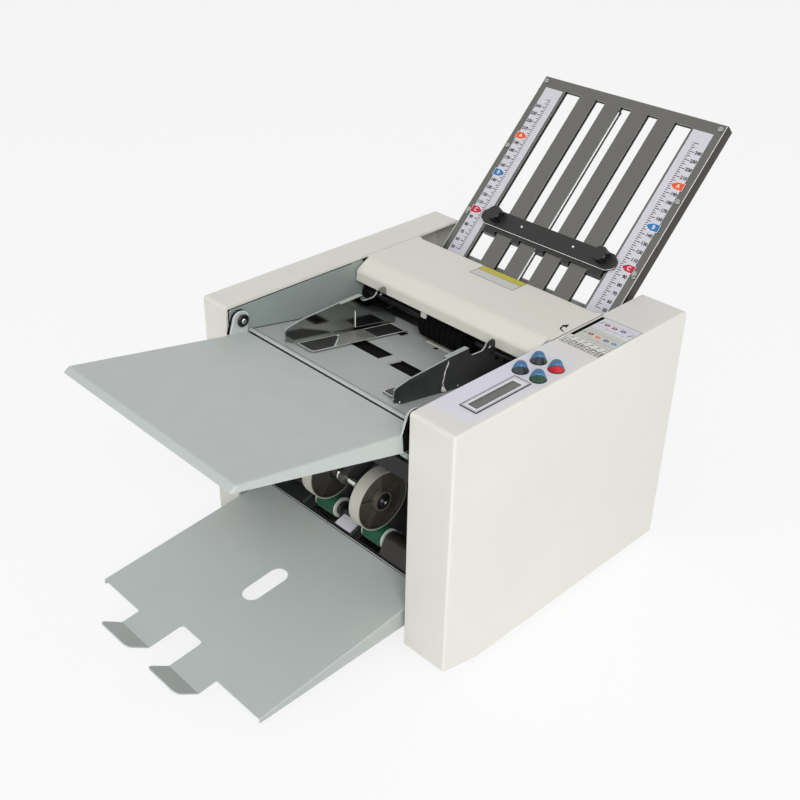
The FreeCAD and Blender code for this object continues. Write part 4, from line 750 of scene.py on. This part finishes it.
ROD_X = -5.6
ROD_R = 0.85
ROD_SPAN = (14.0, 259.4)
# Black strips beside the rod, as painted shadow.
ROD_SHADOW_SPAN = (20.0, 259.0)
ROD_SHADOW_END = (256.8, 261.0)


def slot_rod():
    """Bright rod along the edge of the middle slot, white as a painted highlight, with black strips
    beside it as painted shadow.
    """
    rod = piece("slot_rod", "bright_edge", UPPER)
    length = ROD_SPAN[1] - ROD_SPAN[0]
    lathe(rod, [(0.5, 0), (ROD_R, 0.4), (ROD_R, length - 0.4), (0.5, length)],
          at(ROD_X, ROD_SPAN[0], 0.1, -90), 12)
    seat = piece("slot_rod_shadow", "gloss_black", UPPER)
    bar(seat, (ROD_X - 1.9, ROD_X - 1.0), ROD_SHADOW_SPAN, -0.9, -0.3)
    bar(seat, (ROD_X + 1.0, ROD_X + 2.6), ROD_SHADOW_SPAN, -0.9, -0.3)
    bar(seat, (ROD_X - 1.9, ROD_X + 1.8), ROD_SHADOW_END, -2.5, 0.3)


RAIL_SCREW_X = 116.4
RAIL_SCREWS = (93.2, 183.4, 272.0)
PLATE_SPAN = (8.0, 277.0)


def plate_screws():
    """Small slotted screws along the plate's side rails."""
    washers = piece("rail_screw_washers", "gloss_black", UPPER)
    heads = piece("rail_screw_heads", "zinc_steel", UPPER)
    slots = piece("rail_screw_slots", "black_ink", UPPER)
    for side in SIDES:
        for s in RAIL_SCREWS:
            x = side * RAIL_SCREW_X
            place = at(x, s, 0, 55 * side, "Z")
            lathe(washers, [(2.7, 0), (2.7, 0.25), (2.3, 0.4)], place, 24)
            lathe(heads, [(2.3, 0.3), (2.2, 0.8), (1.4, 1.15)], place, 24)
            stroke(slots, (x - 1.3, s - 1.6), (x + 1.3, s + 1.6), 0.9, 1.1, 1.2)


def plate_edges():
    """Painted highlights along the bends on both sides of the fold plate."""
    half = node_box("upper_fold_plate")[1].x
    lines = piece("plate_bend_highlights", "bright_edge", UPPER)
    for side in SIDES:
        bar(lines, span(side, half - 0.95, half - 0.3), PLATE_SPAN, 0.0, 0.12)


# ---- stop carriage ----
STOP_MIDDLE = 95.0  # along the plate's slope
STOP_RIVETS = ((-35.8, 99.3), (35.8, 99.3))


def stop_details():
    """Bright rivets on the stop bar, and painted highlights along the sheared edges below it."""
    inverse = UPPER.inverted()
    seat = max((inverse @ vertex.co).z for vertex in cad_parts["upper_stop"].data.vertices)
    rivets = piece("stop_rivets", "bright_edge", UPPER, "upper_stop_set")
    for x, s in STOP_RIVETS:
        lathe(rivets, [(1.35, 0), (1.25, 0.35), (0.8, 0.65), (0.3, 0.8)], at(x, s, seat), 20)
    rims = piece("stop_edge_highlights", "bright_edge", UPPER, "upper_stop_set")
    for start, end in face_edges("upper_stop", UPPER, 2, seat):
        if (start[1] + end[1]) / 2 < STOP_MIDDLE:
            stroke(rims, start, end, 0.55, seat, seat + 0.08)


# ---- control panel ----
KEY_FLANGE = 1.4  # of each key's foot, under the panel
SCREEN_INSET = ((4.8, 3.8), (5.0, 8.0))  # at both ends of x and y


def display_details():
    """Dark outline round the raised frame, and the grey screen with its shaded rim."""
    low, high = node_box("display_window")
    rise = high.z - TOP
    outline = piece("display_outline", "black_ink", PANEL)
    frame_line(outline, (low.x - 0.45, high.x + 0.45), (low.y - 0.45, high.y + 0.45), 0.75,
               0.0, rise + INK)
    frame_line(outline, (low.x + 1.1, high.x - 1.1), (low.y + 1.3, high.y - 1.3), 0.3,
               rise, rise + INK)
    x, y = ((low[i] + SCREEN_INSET[i][0], high[i] - SCREEN_INSET[i][1]) for i in (0, 1))
    bar(piece("display_screen", "screen_grey", PANEL), x, y, rise, rise + INK)
    frame_line(piece("display_rim", "sign_ink", PANEL), (x[0] - 0.4, x[1] + 0.2),
               (y[0] - 0.2, y[1] + 0.2), 0.5, rise, rise + 2 * INK)


def key_rims():
    """Black collar round each key and the pale ring printed about it."""
    collars = piece("key_collars", "gloss_black", PANEL)
    halos = piece("key_halos", "white_ink", PANEL)
    for key in ("down_button", "up_button", "start_button", "stop_button"):
        low, high = node_box(key)
        centre = (low.x + high.x) / 2, (low.y + high.y) / 2
        radius = (high.x - low.x) / 2 - KEY_FLANGE
        ring(halos, centre, radius + 0.3, radius + 1.3)
        ring(collars, centre, radius - 0.1, radius + 0.35, 0.0, 0.3)


# ---- fold chart: its print lies over two tinted blocks ----
CHART = PANEL @ at(0, 0, INK)
CHART_X = (133.0, 179.5)
CHART_FRONT = 193.5
CHART_SPLIT = (212.0, 238.5)
CHART_REAR = 263.5
CHART_COLUMNS = (151.8, 161.1, 170.3)
CHART_TAGS = {
    "crimson_ink": ((147.3, 251.4), (156.3, 250.9)), "maroon_ink": ((146.9, 225.6),),
    "amber_ink": ((155.8, 224.8),), "navy_ink": ((165.9, 251.9), (165.5, 225.0)),
    "blue_ink": ((174.4, 225.0),)}
HOUSING_LINE = (186.0, 267.0)  # along the housing's inner edge
TAG_SIZE = 3.3
SIGN_PITCH = 7.6


def tag(work, centre, size, layer):
    """Adds a small pointed tag, on a number of layers of print."""
    x, y = centre
    half, shoulder = 0.68 * size, x + 0.3 * size
    points = [(x - size, y - half), (shoulder, y - half), (x + size, y), (shoulder, y + half),
              (x - size, y + half)]
    prism(work, points, layer * INK, (layer + 1) * INK)


def chart_sign(work, x, y, folds):
    """Adds one folded-sheet sign: an outline with its fold lines, drawn askew."""
    corners = [(x - 2.7, y - 4.4), (x + 2.3, y - 3.6), (x + 3.1, y + 3.0), (x - 2.0, y + 4.4)]
    for start, end in zip(corners, corners[1:] + corners[:1]):
        stroke(work, start, end, 0.75)
    for fold in range(folds):
        level = y - 2.4 + 5.4 * (fold + 1) / (folds + 1)
        lean = 1.6 if fold % 2 else -1.6
        stroke(work, (x - 2.5, level), (x + 2.6, level + lean), 0.65)


def chart_blocks():
    """Heading bars, seam line, outline and the two tinted blocks of the fold chart."""
    lines = piece("chart_lines", "grey_ink", CHART)
    heading = piece("chart_heading", "black_print_and_shade", CHART)
    left, right = CHART_X
    near, far = CHART_SPLIT
    frame_line(lines, (left, right), (CHART_FRONT, CHART_REAR), 0.5)
    stroke(lines, (left + 4, near), (right, near), 0.3)
    for level in (far + 6.0, far + 17.6, near + 5.6, near + 19.4):
        stroke(lines, (left + 6, level), (right - 3, level), 0.2)
    for x in CHART_COLUMNS:
        for level in CHART_SPLIT:
            stroke(lines, (x, level + 2.0), (x, level + 6.0), 0.25)
    bar(heading, (left - 0.6, left + 3.4), (near, CHART_REAR - 1.5))
    bar(heading, (WALL_X, WALL_X + 0.7), HOUSING_LINE)
    bar(piece("chart_lilac_block", "chart_lilac", PANEL), (left + 4, right - 1.5),
        (far + 0.4, CHART_REAR - 0.6))
    bar(piece("chart_green_block", "chart_green", PANEL), (left + 4, right - 0.5), (near + 0.4, far))


def chart_signs():
    """Folded-sheet signs at the front of the chart, and dashes beside the blocks."""
    signs = piece("chart_signs", "sign_ink", CHART)
    left, right = CHART_X
    for i in range(6):
        x = left + 5.0 + SIGN_PITCH * i
        chart_sign(signs, x, CHART_FRONT + 6.0, 1 + i % 3)
        stroke(signs, (x - 1.4, CHART_FRONT + 13.2), (x + 1.6, CHART_FRONT + 14.6), 0.8)
        stroke(signs, (x - 0.4, CHART_FRONT + 15.6), (x + 1.9, CHART_FRONT + 16.4), 0.6)
    for level in CHART_SPLIT:
        stroke(signs, (left + 5.6, level + 10.8), (left + 8.6, level + 13.0), 0.6)
        stroke(signs, (left + 5.6, level + 13.6), (left + 8.8, level + 16.0), 0.6)
    rear = CHART_SPLIT[1]
    stroke(signs, (right - 6.4, rear + 9.0), (right - 2.6, rear + 14.6), 1.1)


def chart_tags():
    """Pointed tags: coloured rims round pale middles with a coloured mark."""
    grounds = piece("chart_tag_grounds", "white_ink", CHART)
    middles = piece("chart_tag_middles", "label_white", CHART)
    for material, places in CHART_TAGS.items():
        tags = piece("chart_tags_" + material[:-4], material, CHART)
        for x, y in places:
            tag(grounds, (x, y), TAG_SIZE + 0.6, 0)
            tag(tags, (x, y), TAG_SIZE, 1)
            tag(middles, (x - 0.2, y), TAG_SIZE * 0.42, 2)
            stroke(tags, (x - 1.0, y - 0.5), (x + 0.8, y + 0.4), 0.8, 3 * INK, 4 * INK)


# ---- cover ----
ARROW_PATH = ((125.4, 210.9), (121.9, 211.6), (119.3, 213.4), (118.2, 216.2), (118.3, 219.0),
              (118.9, 221.4))
ARROW_HEAD = ((115.6, 219.6), (122.2, 219.0), (119.8, 226.0))
STICKER_X = (-26.0, 33.5)
STICKER_Y = (241.5, 254.5, 264.5)  # front, colour change and rear
COVER_CLIP = [(-3.4, -3.6), (3.0, -3.6), (3.8, -2.4), (3.8, 5.0), (1.4, 6.2), (-3.4, 6.2)]
CLIP_X = -24.0


def opening_arrow():
    """Curved arrow that thickens towards its head."""
    arrow = piece("opening_arrow", "black_print_and_shade", COVER, "cover")
    for i, (start, end) in enumerate(zip(ARROW_PATH, ARROW_PATH[1:])):
        stroke(arrow, start, end, 1.5 + 0.1 * i)
    prism(arrow, ARROW_HEAD)


def sticker():
    """Blank two-tone sticker on the cover."""
    left, right = STICKER_X
    near, split, far = STICKER_Y
    bar(piece("sticker_front", "sticker_grey", COVER, "cover"), STICKER_X, (near, split))
    bar(piece("sticker_rear", "yellow_ink", COVER, "cover"), STICKER_X, (split, far))
    edge = piece("sticker_edge", "black_ink", COVER, "cover")
    frame_line(edge, (left - 0.3, right + 0.3), (near - 0.3, far + 0.3), 0.5, 0.0, 2 * INK)
    stroke(edge, (left, split), (right, split), 0.3, INK, 2 * INK)


def cover_seams():
    """Black strips as painted shade in the shut lines where the cover's two ends meet the housings.
    """
    low, high = node_box("top_cover")
    seams = piece("cover_seams", "black_print_and_shade", ACROSS, "cover")
    for x, sheet in ((low.x, (low.x, low.x + 1.2)), (high.x, (high.x - 0.9, high.x))):
        for start, end in face_edges("top_cover", MACHINE, 0, x):
            stroke(seams, start, end, 0.9, *sheet)


def cover_clip():
    """Pale moulded clip that shows under the cover's front edge."""
    low = node_box("top_cover")[0]
    place = MACHINE @ at(CLIP_X, low.y + 2.6, low.z - 0.5, 90)
    prism(piece("cover_clip", "white_plastic", place, "cover"), COVER_CLIP, -1.0, 1.0)


# ---- side plates' seams, table ears and pivots ----
SEAM_FOOT = 118.0
SEAM_REAR = 166.0


def side_seams():
    """Thin black strips as painted shade in the gaps where both side plates meet the housings."""
    seams = piece("side_seams", "black_print_and_shade")
    for side in SIDES:
        sheet = span(side, WALL_X - 0.9, WALL_X - 0.05)
        bar(seams, sheet, (2.2, 3.6), SEAM_FOOT, TOP - 2.5)
        bar(seams, sheet, (2.2, SEAM_REAR), TOP - 3.7, TOP - 2.5)


# The table's pivot ears, along the table and out of it.
EAR_FOOT = (-22.0, 0.0)
EAR_CENTRE = (-10.1, 14.4)
EAR_R = 9.2
EAR_BACK = -1.6
EAR_SHADOW = (0.15, 1.4)  # its two faces, beyond the table's end


def ear_path(grow):
    """Front edge and crown of a pivot ear, moved out by grow at the front."""
    centre = EAR_CENTRE[0] - grow / 2, EAR_CENTRE[1]
    return [(EAR_FOOT[0] - grow, EAR_FOOT[1])] + arc(centre, EAR_R + grow / 2, 170, -150, 16)


def ear_liners():
    """Black sheets on the outer sides of the table's two pivot ears, as painted shadow."""
    outer = node_box("feed_table")[1].x
    shadow_sheets = piece("ear_liners", "black_print_and_shade", TABLE @ STAND, "table")
    left = ear_path(2.2) + [(EAR_BACK, 10.0), (EAR_BACK, 0.0)]
    prism(shadow_sheets, left, -outer - EAR_SHADOW[1], -outer - EAR_SHADOW[0])
    right = [(-16.3, -17.0), (-19.4, -5.6)] + ear_path(-0.7) + [(EAR_BACK, 10.0), (EAR_BACK, -17.0)]
    prism(shadow_sheets, right, outer + EAR_SHADOW[0], outer + EAR_SHADOW[1])


def ear_edges():
    """Painted highlight along the sheared edge round the front and crown of each pivot ear."""
    outer = node_box("feed_table")[1].x
    edges = piece("ear_edges", "bright_edge", TABLE @ STAND, "table")
    path = ear_path(-0.35)
    for start, end in zip(path, path[1:]):
        for low in (-outer + 1.2, outer):
            stroke(edges, start, end, 0.7, low, low + 0.15)


def pivot_details():
    """Black washer and bright cross-headed screw on each of the table's pivots."""
    low, high = node_box("pivot_screws")
    inner = node_box("feed_table")[1].x - 4.2
    washers = piece("pivot_washers", "gloss_black")
    heads = piece("pivot_heads", "rod_bright")
    crosses = piece("pivot_crosses", "black_ink")
    for side in SIDES:
        face = at(side * inner, low.y + 6.0, high.z - 6.0, -90 * side, "Y")
        lathe(washers, [(6.7, -0.9), (6.8, 0.1), (5.8, 0.9), (3.2, 1.0), (3.0, 0.4)], face)
        lathe(heads, [(2.9, 0.4), (2.7, 1.2), (1.7, 1.75), (0.6, 1.95)], face)
        for turn in (35, 125):
            placed(crosses, face @ at(0, 0, 0, turn, "Z"), stroke, (-1.7, 0), (1.7, 0), 0.55,
                   1.5, 2.02)


# ---- bed and side guides: x, and s along the bed ----
WINDOWS = (((-54.0, -11.0), (77.5, 98.9)), ((3.0, 46.0), (76.5, 96.9)))
SENSOR = (-4.0, 153.6)
SENSOR_R = 2.9
SLOT = ((14.2, 19.8), (156.7, 162.3))
STRIP = ((-22.0, 12.0), (157.6, 161.2))
STRIP_EDGE = ((-23.0, 13.5), (161.4, 162.0))
SIDE_GAP = (9.0, 170.0)
BEAD = (3.4, 10.2)  # its front and rear feet
BEAD_RISE = 1.3


def bed_details():
    """Black pockets under the windows and black lines in the side gaps, as painted shade, and the
    strip before the pad.
    """
    pockets = piece("window_shade", "black_print_and_shade", BED)
    for x, s in WINDOWS:
        sides = (x[0] - 1.5, x[1] + 1.5), (s[0] - 1.5, s[1] + 1.5)
        bar(pockets, *sides, -3.6, -3.0)
        frame_line(pockets, *sides, 0.8, -3.0, -1.6)
    lathe(pockets, [(SENSOR_R, -1.4), (SENSOR_R, -0.3)], at(*SENSOR, 0), 24)
    bar(pockets, *SLOT, -1.4, -0.3)
    half = node_box("feed_bed")[1].x
    for side in SIDES:
        bar(pockets, span(side, half - 1.1, half), SIDE_GAP, 0.0, 0.12)
    bar(piece("bed_strip", "strip_grey", BED), *STRIP, 0.0, 0.5)
    bar(piece("bed_strip_edge", "tick_ink", BED), *STRIP_EDGE, 0.0, 0.3)


def bed_bead():
    """Rolled front edge of the bed, in a lighter paint as a painted highlight."""
    half = (BEAD[1] - BEAD[0]) / 2
    radius = (half ** 2 + BEAD_RISE ** 2) / (2 * BEAD_RISE)
    reach = math.degrees(math.asin(half / radius))
    profile = arc((BEAD[0] + half, BEAD_RISE - radius), radius, 90 + reach, -2 * reach, 16)
    side = node_box("feed_bed")[1].x - 1.4
    prism(piece("bed_bead", "bead_highlight_paint", BED @ STAND), profile, -side, side)


# The left guide's foot, its painted highlight and reflection, and what lies on it; the right guide's
# is its mirror.
FOOT_TOP = 2.0  # above the bed
FOOT_EDGE_HIGHLIGHT = [(-72.8, 24.0), (-52.2, 24.0), (-49.7, 26.2), (-49.2, 28.4), (-49.2, 156.0),
               (-72.8, 156.0)]
REFLECTION_FRONT = [(-71.6, 25.2), (-52.6, 25.2), (-50.9, 26.6), (-50.4, 28.6), (-50.4, 53.0),
             (-68.4, 74.8), (-71.6, 74.8)]
REFLECTION_REAR = [(-71.6, 113.0), (-50.4, 113.0), (-50.4, 153.0), (-71.6, 153.0)]
CLIP = [(-49.4, 54.6), (-60.0, 67.0), (-72.6, 80.0), (-72.6, 111.6), (-49.4, 111.6)]
PIN = (75.4, 123.0, 234.0)


def guide_details():
    """Foot of each guide: a light border as painted highlight, dark patches as painted reflection,
    an alloy clip and a slim upright pin.
    """
    for side, guide in zip(SIDES, ("left_guide", "right_guide")):
        place, body = BED @ Matrix.Scale(-side, 4, (1, 0, 0)) @ at(0, 0, FOOT_TOP), guide + "_set"
        edge_highlights = piece(guide + "_border", "strip_grey", place, body)
        dark_reflections = piece(guide + "_dark_reflections", "foot_dark_reflection", place, body)
        clip = piece(guide + "_clip", "clip_alloy", place, body)
        prism(edge_highlights, FOOT_EDGE_HIGHLIGHT, 0.0, 0.1)
        prism(dark_reflections, REFLECTION_FRONT, 0.1, 0.25)
        prism(dark_reflections, REFLECTION_REAR, 0.1, 0.25)
        prism(clip, CLIP, 0.1, 0.6)
        lathe(piece(guide + "_pin", "bright_edge", MACHINE, body),
              [(0.3, 0), (0.5, 0.5), (0.45, 17.5), (0.15, 19.5)],
              at(side * PIN[0], PIN[1], PIN[2]), 10)


# The right guide's outer face carries a wavy seam, drawn as a bright line of painted highlight, in
# the machine's (y, z).
OUTER_FACE = 77.2
SEAM = ((101.4, 266.4), (101.9, 263.7), (99.6, 260.2), (97.7, 256.7), (97.0, 252.8),
        (96.6, 248.9), (95.0, 246.0), (95.6, 242.6))
SEAM_END = ((95.2, 242.4), (96.2, 240.6), (98.6, 237.0), (99.4, 234.4), (93.6, 236.6),
            (93.8, 239.6))
FACE_RIVETS = ((38.5, 247.8), (116.3, 234.0))


def guide_seam():
    """Painted highlight along the seam, thicker in every other stretch, with its blob of an end, and
    two small rivets.
    """
    seam = piece("right_guide_seam_highlight", "bright_edge", ACROSS, "right_guide_set")
    for i, (start, end) in enumerate(zip(SEAM, SEAM[1:])):
        stroke(seam, start, end, 0.9 + 0.6 * (i % 2), OUTER_FACE, OUTER_FACE + 0.5)
    prism(seam, SEAM_END, OUTER_FACE, OUTER_FACE + 1.4)
    for y, z in FACE_RIVETS:
        lathe(seam, [(0.9, 0), (0.7, 0.7), (0.2, 0.9)], at(y, z, OUTER_FACE), 12)


# ---- delivery unit ----
CHUTE_LABEL = ((-16.6, 7.6), (4.2, 25.0))  # x, and along the chute's slope
CHUTE_RIBS = (-66.0, 9.4)
HOOD_Y = (39.0, 67.0)
HOOD_OUTER = (10.0, 0.0)  # crown radius, and how far the feet stand in
HOOD_INNER = (8.8, 1.4)
SLEEVE_X = -21.0
COLLAR_X = -31.0


def chute_details():
    """Blank label, ribs beside the rollers' windows, a painted highlight along the chute's front
    edge and a painted shade line just behind it.
    """
    half = chute_high.x - 1.0
    bar(piece("chute_label", "label_white", CHUTE), *CHUTE_LABEL, 0.15, 0.3)
    bar(piece("chute_edge", "strip_grey", CHUTE), (-half, half), (0.0, 0.7), 0.0, 0.25)
    bar(piece("chute_edge_shade", "black_print_and_shade", CHUTE), (-half, half), (0.9, 1.8), 0.0, 0.2)
    ribs = piece("chute_ribs", "rib_grey", CHUTE)
    for x in CHUTE_RIBS:
        bar(ribs, (x, x + 1.6), (2.4, 16.0), 0.0, 3.2)


def hood_outline(radius, inset):
    """Crown and both feet of the hood, the feet on the chute's slope."""
    crown = arc(node_axis("exit_rollers"), radius, 145, -125, 16)
    feet = [(y, CHUTE_ZERO[1] + (y - CHUTE_ZERO[0]) * math.tan(CHUTE_SLOPE))
            for y in (HOOD_Y[0] + inset, HOOD_Y[1] - inset)]
    return [feet[0]] + crown + [feet[1]]


def shaft_hood():
    """Dark folded hood over the exit roller shaft, beside the right roller."""
    left = node_box("exit_roller_cores")[1].x + 1.0
    right = node_box("right_side_frame")[0].x - 0.3
    hood = piece("shaft_hood", "hood_brown", ACROSS)
    strip(hood, hood_outline(*HOOD_OUTER), hood_outline(*HOOD_INNER), left, right)


def roller_sleeve():
    """Dark sleeve on the exit roller shaft, against the left roller's inner end."""
    sleeve = piece("roller_sleeve", "hood_brown", MACHINE, "exit_drive")
    lathe(sleeve, [(7.8, 0), (8.2, 0.4), (8.2, 3.4), (7.4, 4.0)],
          at(SLEEVE_X, *node_axis("exit_roller_cores"), 90, "Y"))


def wheel_hubs():
    """Collar between the wheels, and a boss ring, dark disc and bright shaft end on each."""
    axis = node_axis("wheel_shaft")
    outer = node_box("exit_wheels")[1].x
    ride = MACHINE, "exit_wheel_set"
    collar = piece("shaft_collar", "chrome", *ride)
    lathe(collar, [(5.4, 0), (6.4, 1.0), (6.4, 11.8), (5.4, 12.8)], at(COLLAR_X, *axis, 90, "Y"))
    discs = piece("hub_discs", "hub_brown", *ride)
    bosses = piece("hub_bosses", "wheel_boss", *ride)
    ends = piece("hub_ends", "pin_bright", *ride)
    for side in SIDES:
        face = at(side * outer, *axis, 90 * side, "Y")
        lathe(discs, [(9.3, -0.5), (9.3, 0.15)], face)
        placed(bosses, face, ring, (0, 0), 9.2, 10.9, -5.0, 1.6)
        lathe(ends, [(2.2, 0.15), (2.2, 3.4), (1.6, 4.0), (0.5, 4.1)], face)


# ---- mains switch ----
def rocker_marks():
    """On and off signs on the rocker's face."""
    low, high = node_box("power_rocker")
    height = high.z - low.z
    place = MACHINE @ at((low.x + high.x) / 2, high.y, low.z, 90)
    marks = piece("rocker_marks", "white_ink", place, "switch_rocker")
    bar(marks, (-0.45, 0.45), (0.68 * height, 0.86 * height), -0.05, 0.6)
    ring(marks, (0, 0.26 * height), 1.3, 2.1, -0.05, 0.6)


for draw_pieces in (
        ruler_print, ruler_marks, slot_rod, plate_screws, stop_details, plate_edges,
        display_details, key_rims, chart_blocks, chart_signs, chart_tags, opening_arrow, sticker,
        cover_seams, cover_clip, side_seams, ear_liners, ear_edges, pivot_details, bed_details,
        bed_bead, guide_details, guide_seam, chute_details, shaft_hood, roller_sleeve, wheel_hubs,
        rocker_marks):
    draw_pieces()
for draft in DRAFTS:
    finish(*draft)


# ---- floor, light and camera, in metres ----
FLOOR_SIZE = 12.0  # from its middle to each edge
FLOOR_GLOW = 0.8
AMBIENT = 0.46
LIGHT_AIM = 0.2  # height above the floor
# Each lamp's place (x and y from the object's middle), width and watts.
LAMPS = {"key_light": ((2.4, -2.1, 2.5), 1.8, 85.5),
         "side_light": ((3.2, 0.3, 1.0), 1.6, 6.0),
         "front_light": ((-1.0, -3.2, 1.0), 1.6, 4.0)}
CAMERA_PLACE = (0.6813, -0.6952, 0.7884)
CAMERA_TURN = (58.174, -1.017, 45.892)  # degrees
CAMERA_LENS = 50.27


def seen_directly(tree):
    """One for camera, glossy and transmission rays, so the pale ground shows in metal too."""
    path = tree.nodes.new("ShaderNodeLightPath").outputs
    total = path["Is Camera Ray"]
    for ray in ("Is Glossy Ray", "Is Transmission Ray"):
        either = tree.nodes.new("ShaderNodeMath")
        either.operation = "MAXIMUM"
        tree.links.new(total, either.inputs[0])
        tree.links.new(path[ray], either.inputs[1])
        total = either.outputs[0]
    return total


def add_object(name, data, place):
    """Adds an object that isn't part of the machine."""
    made = bpy.data.objects.new(name, data)
    made.location = place
    scene.collection.objects.link(made)
    return made


def studio_floor():
    """White floor that glows for the camera, yet keeps the object's shadow."""
    shade = Shade("studio_floor", 0.8)
    shade.colour(shade.mix(shade.noise(3.0), linear((246, 246, 246)), linear((250, 250, 250))))
    glow = shade.node("Emission", {"Strength": 1.0})
    share = shade.times(seen_directly(shade.tree), FLOOR_GLOW)
    both = {0: share, 1: shade.shader.outputs[0], 2: glow.outputs[0]}
    surface = shade.node("MixShader", both).outputs[0]
    shade.tree.links.new(surface, shade.tree.nodes["Material Output"].inputs["Surface"])
    mesh = bpy.data.meshes.new("studio_floor")
    grid = bmesh.new()
    bmesh.ops.create_grid(grid, x_segments=2, y_segments=2, size=FLOOR_SIZE)
    grid.to_mesh(mesh)
    grid.free()
    mesh.materials.append(MATERIALS["studio_floor"])
    add_object("studio_floor", mesh, (0, 0, cad_box[0][2]))


def lamps():
    """Square studio lamps aimed at the object."""
    middle = [(low + high) / 2 for low, high in zip(*cad_box)]
    target = Vector((middle[0], middle[1], LIGHT_AIM))
    for name, ((x, y, z), width, watts) in LAMPS.items():
        light = bpy.data.lights.new(name, "AREA")
        light.shape = "SQUARE"
        light.size = width
        light.energy = watts
        place = Vector((middle[0] + x, middle[1] + y, z))
        lamp = add_object(name, light, place)
        lamp.rotation_euler = (target - place).to_track_quat("-Z", "Y").to_euler()


def pale_world():
    """Even light on the object, and a white backdrop for the rays that see it directly."""
    world = bpy.data.worlds.new("studio")
    scene.world = world
    world.use_nodes = True
    tree = world.node_tree
    backdrop = tree.nodes["Background"].inputs
    backdrop["Color"].default_value = (1.0, 1.0, 1.0, 1.0)
    strength = tree.nodes.new("ShaderNodeMapRange")
    strength.inputs["To Min"].default_value = AMBIENT
    tree.links.new(seen_directly(tree), strength.inputs["Value"])
    tree.links.new(strength.outputs["Result"], backdrop["Strength"])


def photo_camera():
    """Camera at the photograph's place and angle."""
    data = bpy.data.cameras.new("photo_camera")
    data.lens = CAMERA_LENS
    data.sensor_width = 36.0
    data.sensor_fit = "HORIZONTAL"
    camera = add_object("photo_camera", data, CAMERA_PLACE)
    camera.rotation_euler = [math.radians(angle) for angle in CAMERA_TURN]
    scene.camera = camera


studio_floor()
lamps()
pale_world()
photo_camera()
scene.view_settings.view_transform = "Standard"
